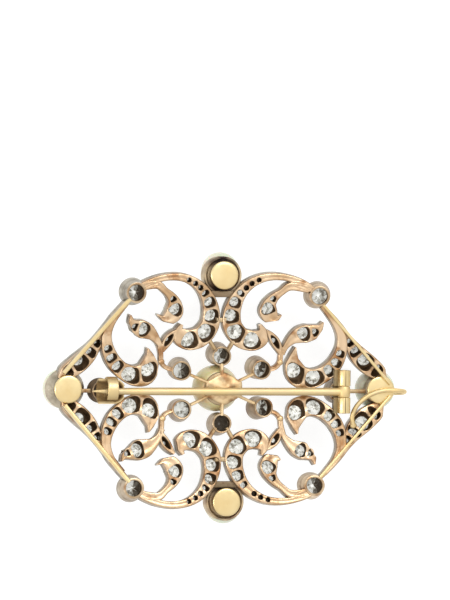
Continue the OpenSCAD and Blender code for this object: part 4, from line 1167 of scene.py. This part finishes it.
class BROOCH_OT_stage(bpy.types.Operator):
    """The pale table, the soft light and the camera at the photograph's angle"""
    bl_idname = "brooch.stage"
    bl_label = "Stage"

    def execute(self, context):
        scene = context.scene
        half, below = scene.brooch_sizes.floor_size / 2, -0.00002
        mesh = bpy.data.meshes.new("table")
        mesh.from_pydata([(x * half, y * half, below) for x, y in ((-1, -1), (1, -1), (1, 1), (-1, 1))],
                         [], [(0, 1, 2, 3)])
        m, t, shader = new_material("pale_table")
        t.feed(shader, {"Base Color": (0.3, 0.3, 0.3, 1), "Roughness": 0.9, "Emission Color": (1, 1, 1, 1),
                        "Emission Strength": 0.82})
        mesh.materials.append(m)
        floor = bpy.data.objects.new("table", mesh)
        scene.collection.objects.link(floor)

        world = scene.world = bpy.data.worlds.new("studio")
        world.use_nodes = True
        t = Tree(world.node_tree)
        height = t.node("SeparateXYZ", {"Vector": t.node("TexCoord", {}, "Generated")}, "Z")
        sky = t.ramp(t.number(height, 0, 1, -0.2, 1.0), [
            (0.0, (0.7, 0.7, 0.7)), (0.3, (0.62, 0.62, 0.61)), (0.6, (0.74, 0.74, 0.73)),
            (0.82, (0.95, 0.94, 0.93)), (1.0, (1.0, 0.99, 0.98))])
        t.feed(t.nodes["Background"], {"Color": sky, "Strength": 1.0})

        def lamp(name, place, size, watts, colour):
            """A rectangular light that looks at the brooch."""
            data = bpy.data.lights.new(name, "AREA")
            data.shape = "RECTANGLE"
            data.size, data.size_y = size
            data.energy, data.color = watts, colour
            obj = bpy.data.objects.new(name, data)
            obj.location = place
            obj.rotation_euler = (-Vector(place)).to_track_quat("-Z", "Y").to_euler()
            scene.collection.objects.link(obj)

        lamp("upper_softbox", (0.1, 0.35, 0.5), (0.35, 0.2), 1.4, (1, 0.99, 0.97))
        lamp("side_strip", (-0.5, -0.05, 0.25), (0.08, 0.5), 1.0, (1, 1, 1))

        ca, sa = math.cos(CAMERA_TURN), math.sin(CAMERA_TURN)
        ce, se = math.cos(CAMERA_RISE), math.sin(CAMERA_RISE)
        toward = np.array([-ce * sa, se, ce * ca])
        right, up = turned(np.array([ca, 0, sa]), np.array([se * sa, ce, -se * ca]), CAMERA_ROLL)
        pivot = (SHIFT + [0, 0, PLATE_Z]) * MM
        place = pivot + CAMERA_DISTANCE * toward
        back = unit(place - pivot - (AIM_RIGHT * right + AIM_UP * up) * MM)
        side = unit(np.cross(up, back))
        data = bpy.data.cameras.new("portrait")
        data.lens, data.sensor_width, data.sensor_fit = SENSOR * FOCAL_LENGTH, SENSOR, "AUTO"
        data.clip_start, data.clip_end = 0.05, 20
        cam = scene.camera = bpy.data.objects.new("portrait", data)
        rows = np.stack([side, np.cross(back, side), back, place], 1).tolist()
        cam.matrix_world = Matrix([*rows, [0, 0, 0, 1]])
        scene.collection.objects.link(cam)
        scene.view_settings.view_transform = "Standard"
        scene.view_settings.look = "None"
        return {"FINISHED"}


class BROOCH_PT_panel(bpy.types.Panel):
    """Everything that builds the brooch, in order"""
    bl_label = "Pearl brooch"
    bl_idname = "BROOCH_PT_panel"
    bl_space_type = "VIEW_3D"
    bl_region_type = "UI"
    bl_category = "Brooch"

    def draw(self, context):
        for group in (context.scene.brooch_sizes, context.scene.brooch_colours):
            for name in group.__annotations__:
                self.layout.prop(group, name)
        for step in STEPS:
            self.layout.operator(step.bl_idname)


STEPS = [
    BROOCH_OT_plates, BROOCH_OT_stones, BROOCH_OT_grains, BROOCH_OT_collets, BROOCH_OT_boss, BROOCH_OT_cups,
    BROOCH_OT_pearls, BROOCH_OT_bars, BROOCH_OT_hinge, BROOCH_OT_pin, BROOCH_OT_catch, BROOCH_OT_stage,
]
CLASSES = [BroochSizes, BroochColours, *STEPS, BROOCH_PT_panel]


def register():
    """Adds every class of this file, and its settings to the scene."""
    for c in CLASSES:
        bpy.utils.register_class(c)
    bpy.types.Scene.brooch_sizes = bpy.props.PointerProperty(type=BroochSizes)
    bpy.types.Scene.brooch_colours = bpy.props.PointerProperty(type=BroochColours)


def unregister():
    """Takes them out again."""
    del bpy.types.Scene.brooch_sizes
    del bpy.types.Scene.brooch_colours
    for c in reversed(CLASSES):
        bpy.utils.unregister_class(c)


def main():
    """Builds the brooch."""
    register()
    make_materials(bpy.context.scene.brooch_colours)
    for step in STEPS:
        group, _, name = step.bl_idname.partition(".")
        getattr(getattr(bpy.ops, group), name)()
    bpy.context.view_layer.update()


if __name__ == "__main__":
    main()
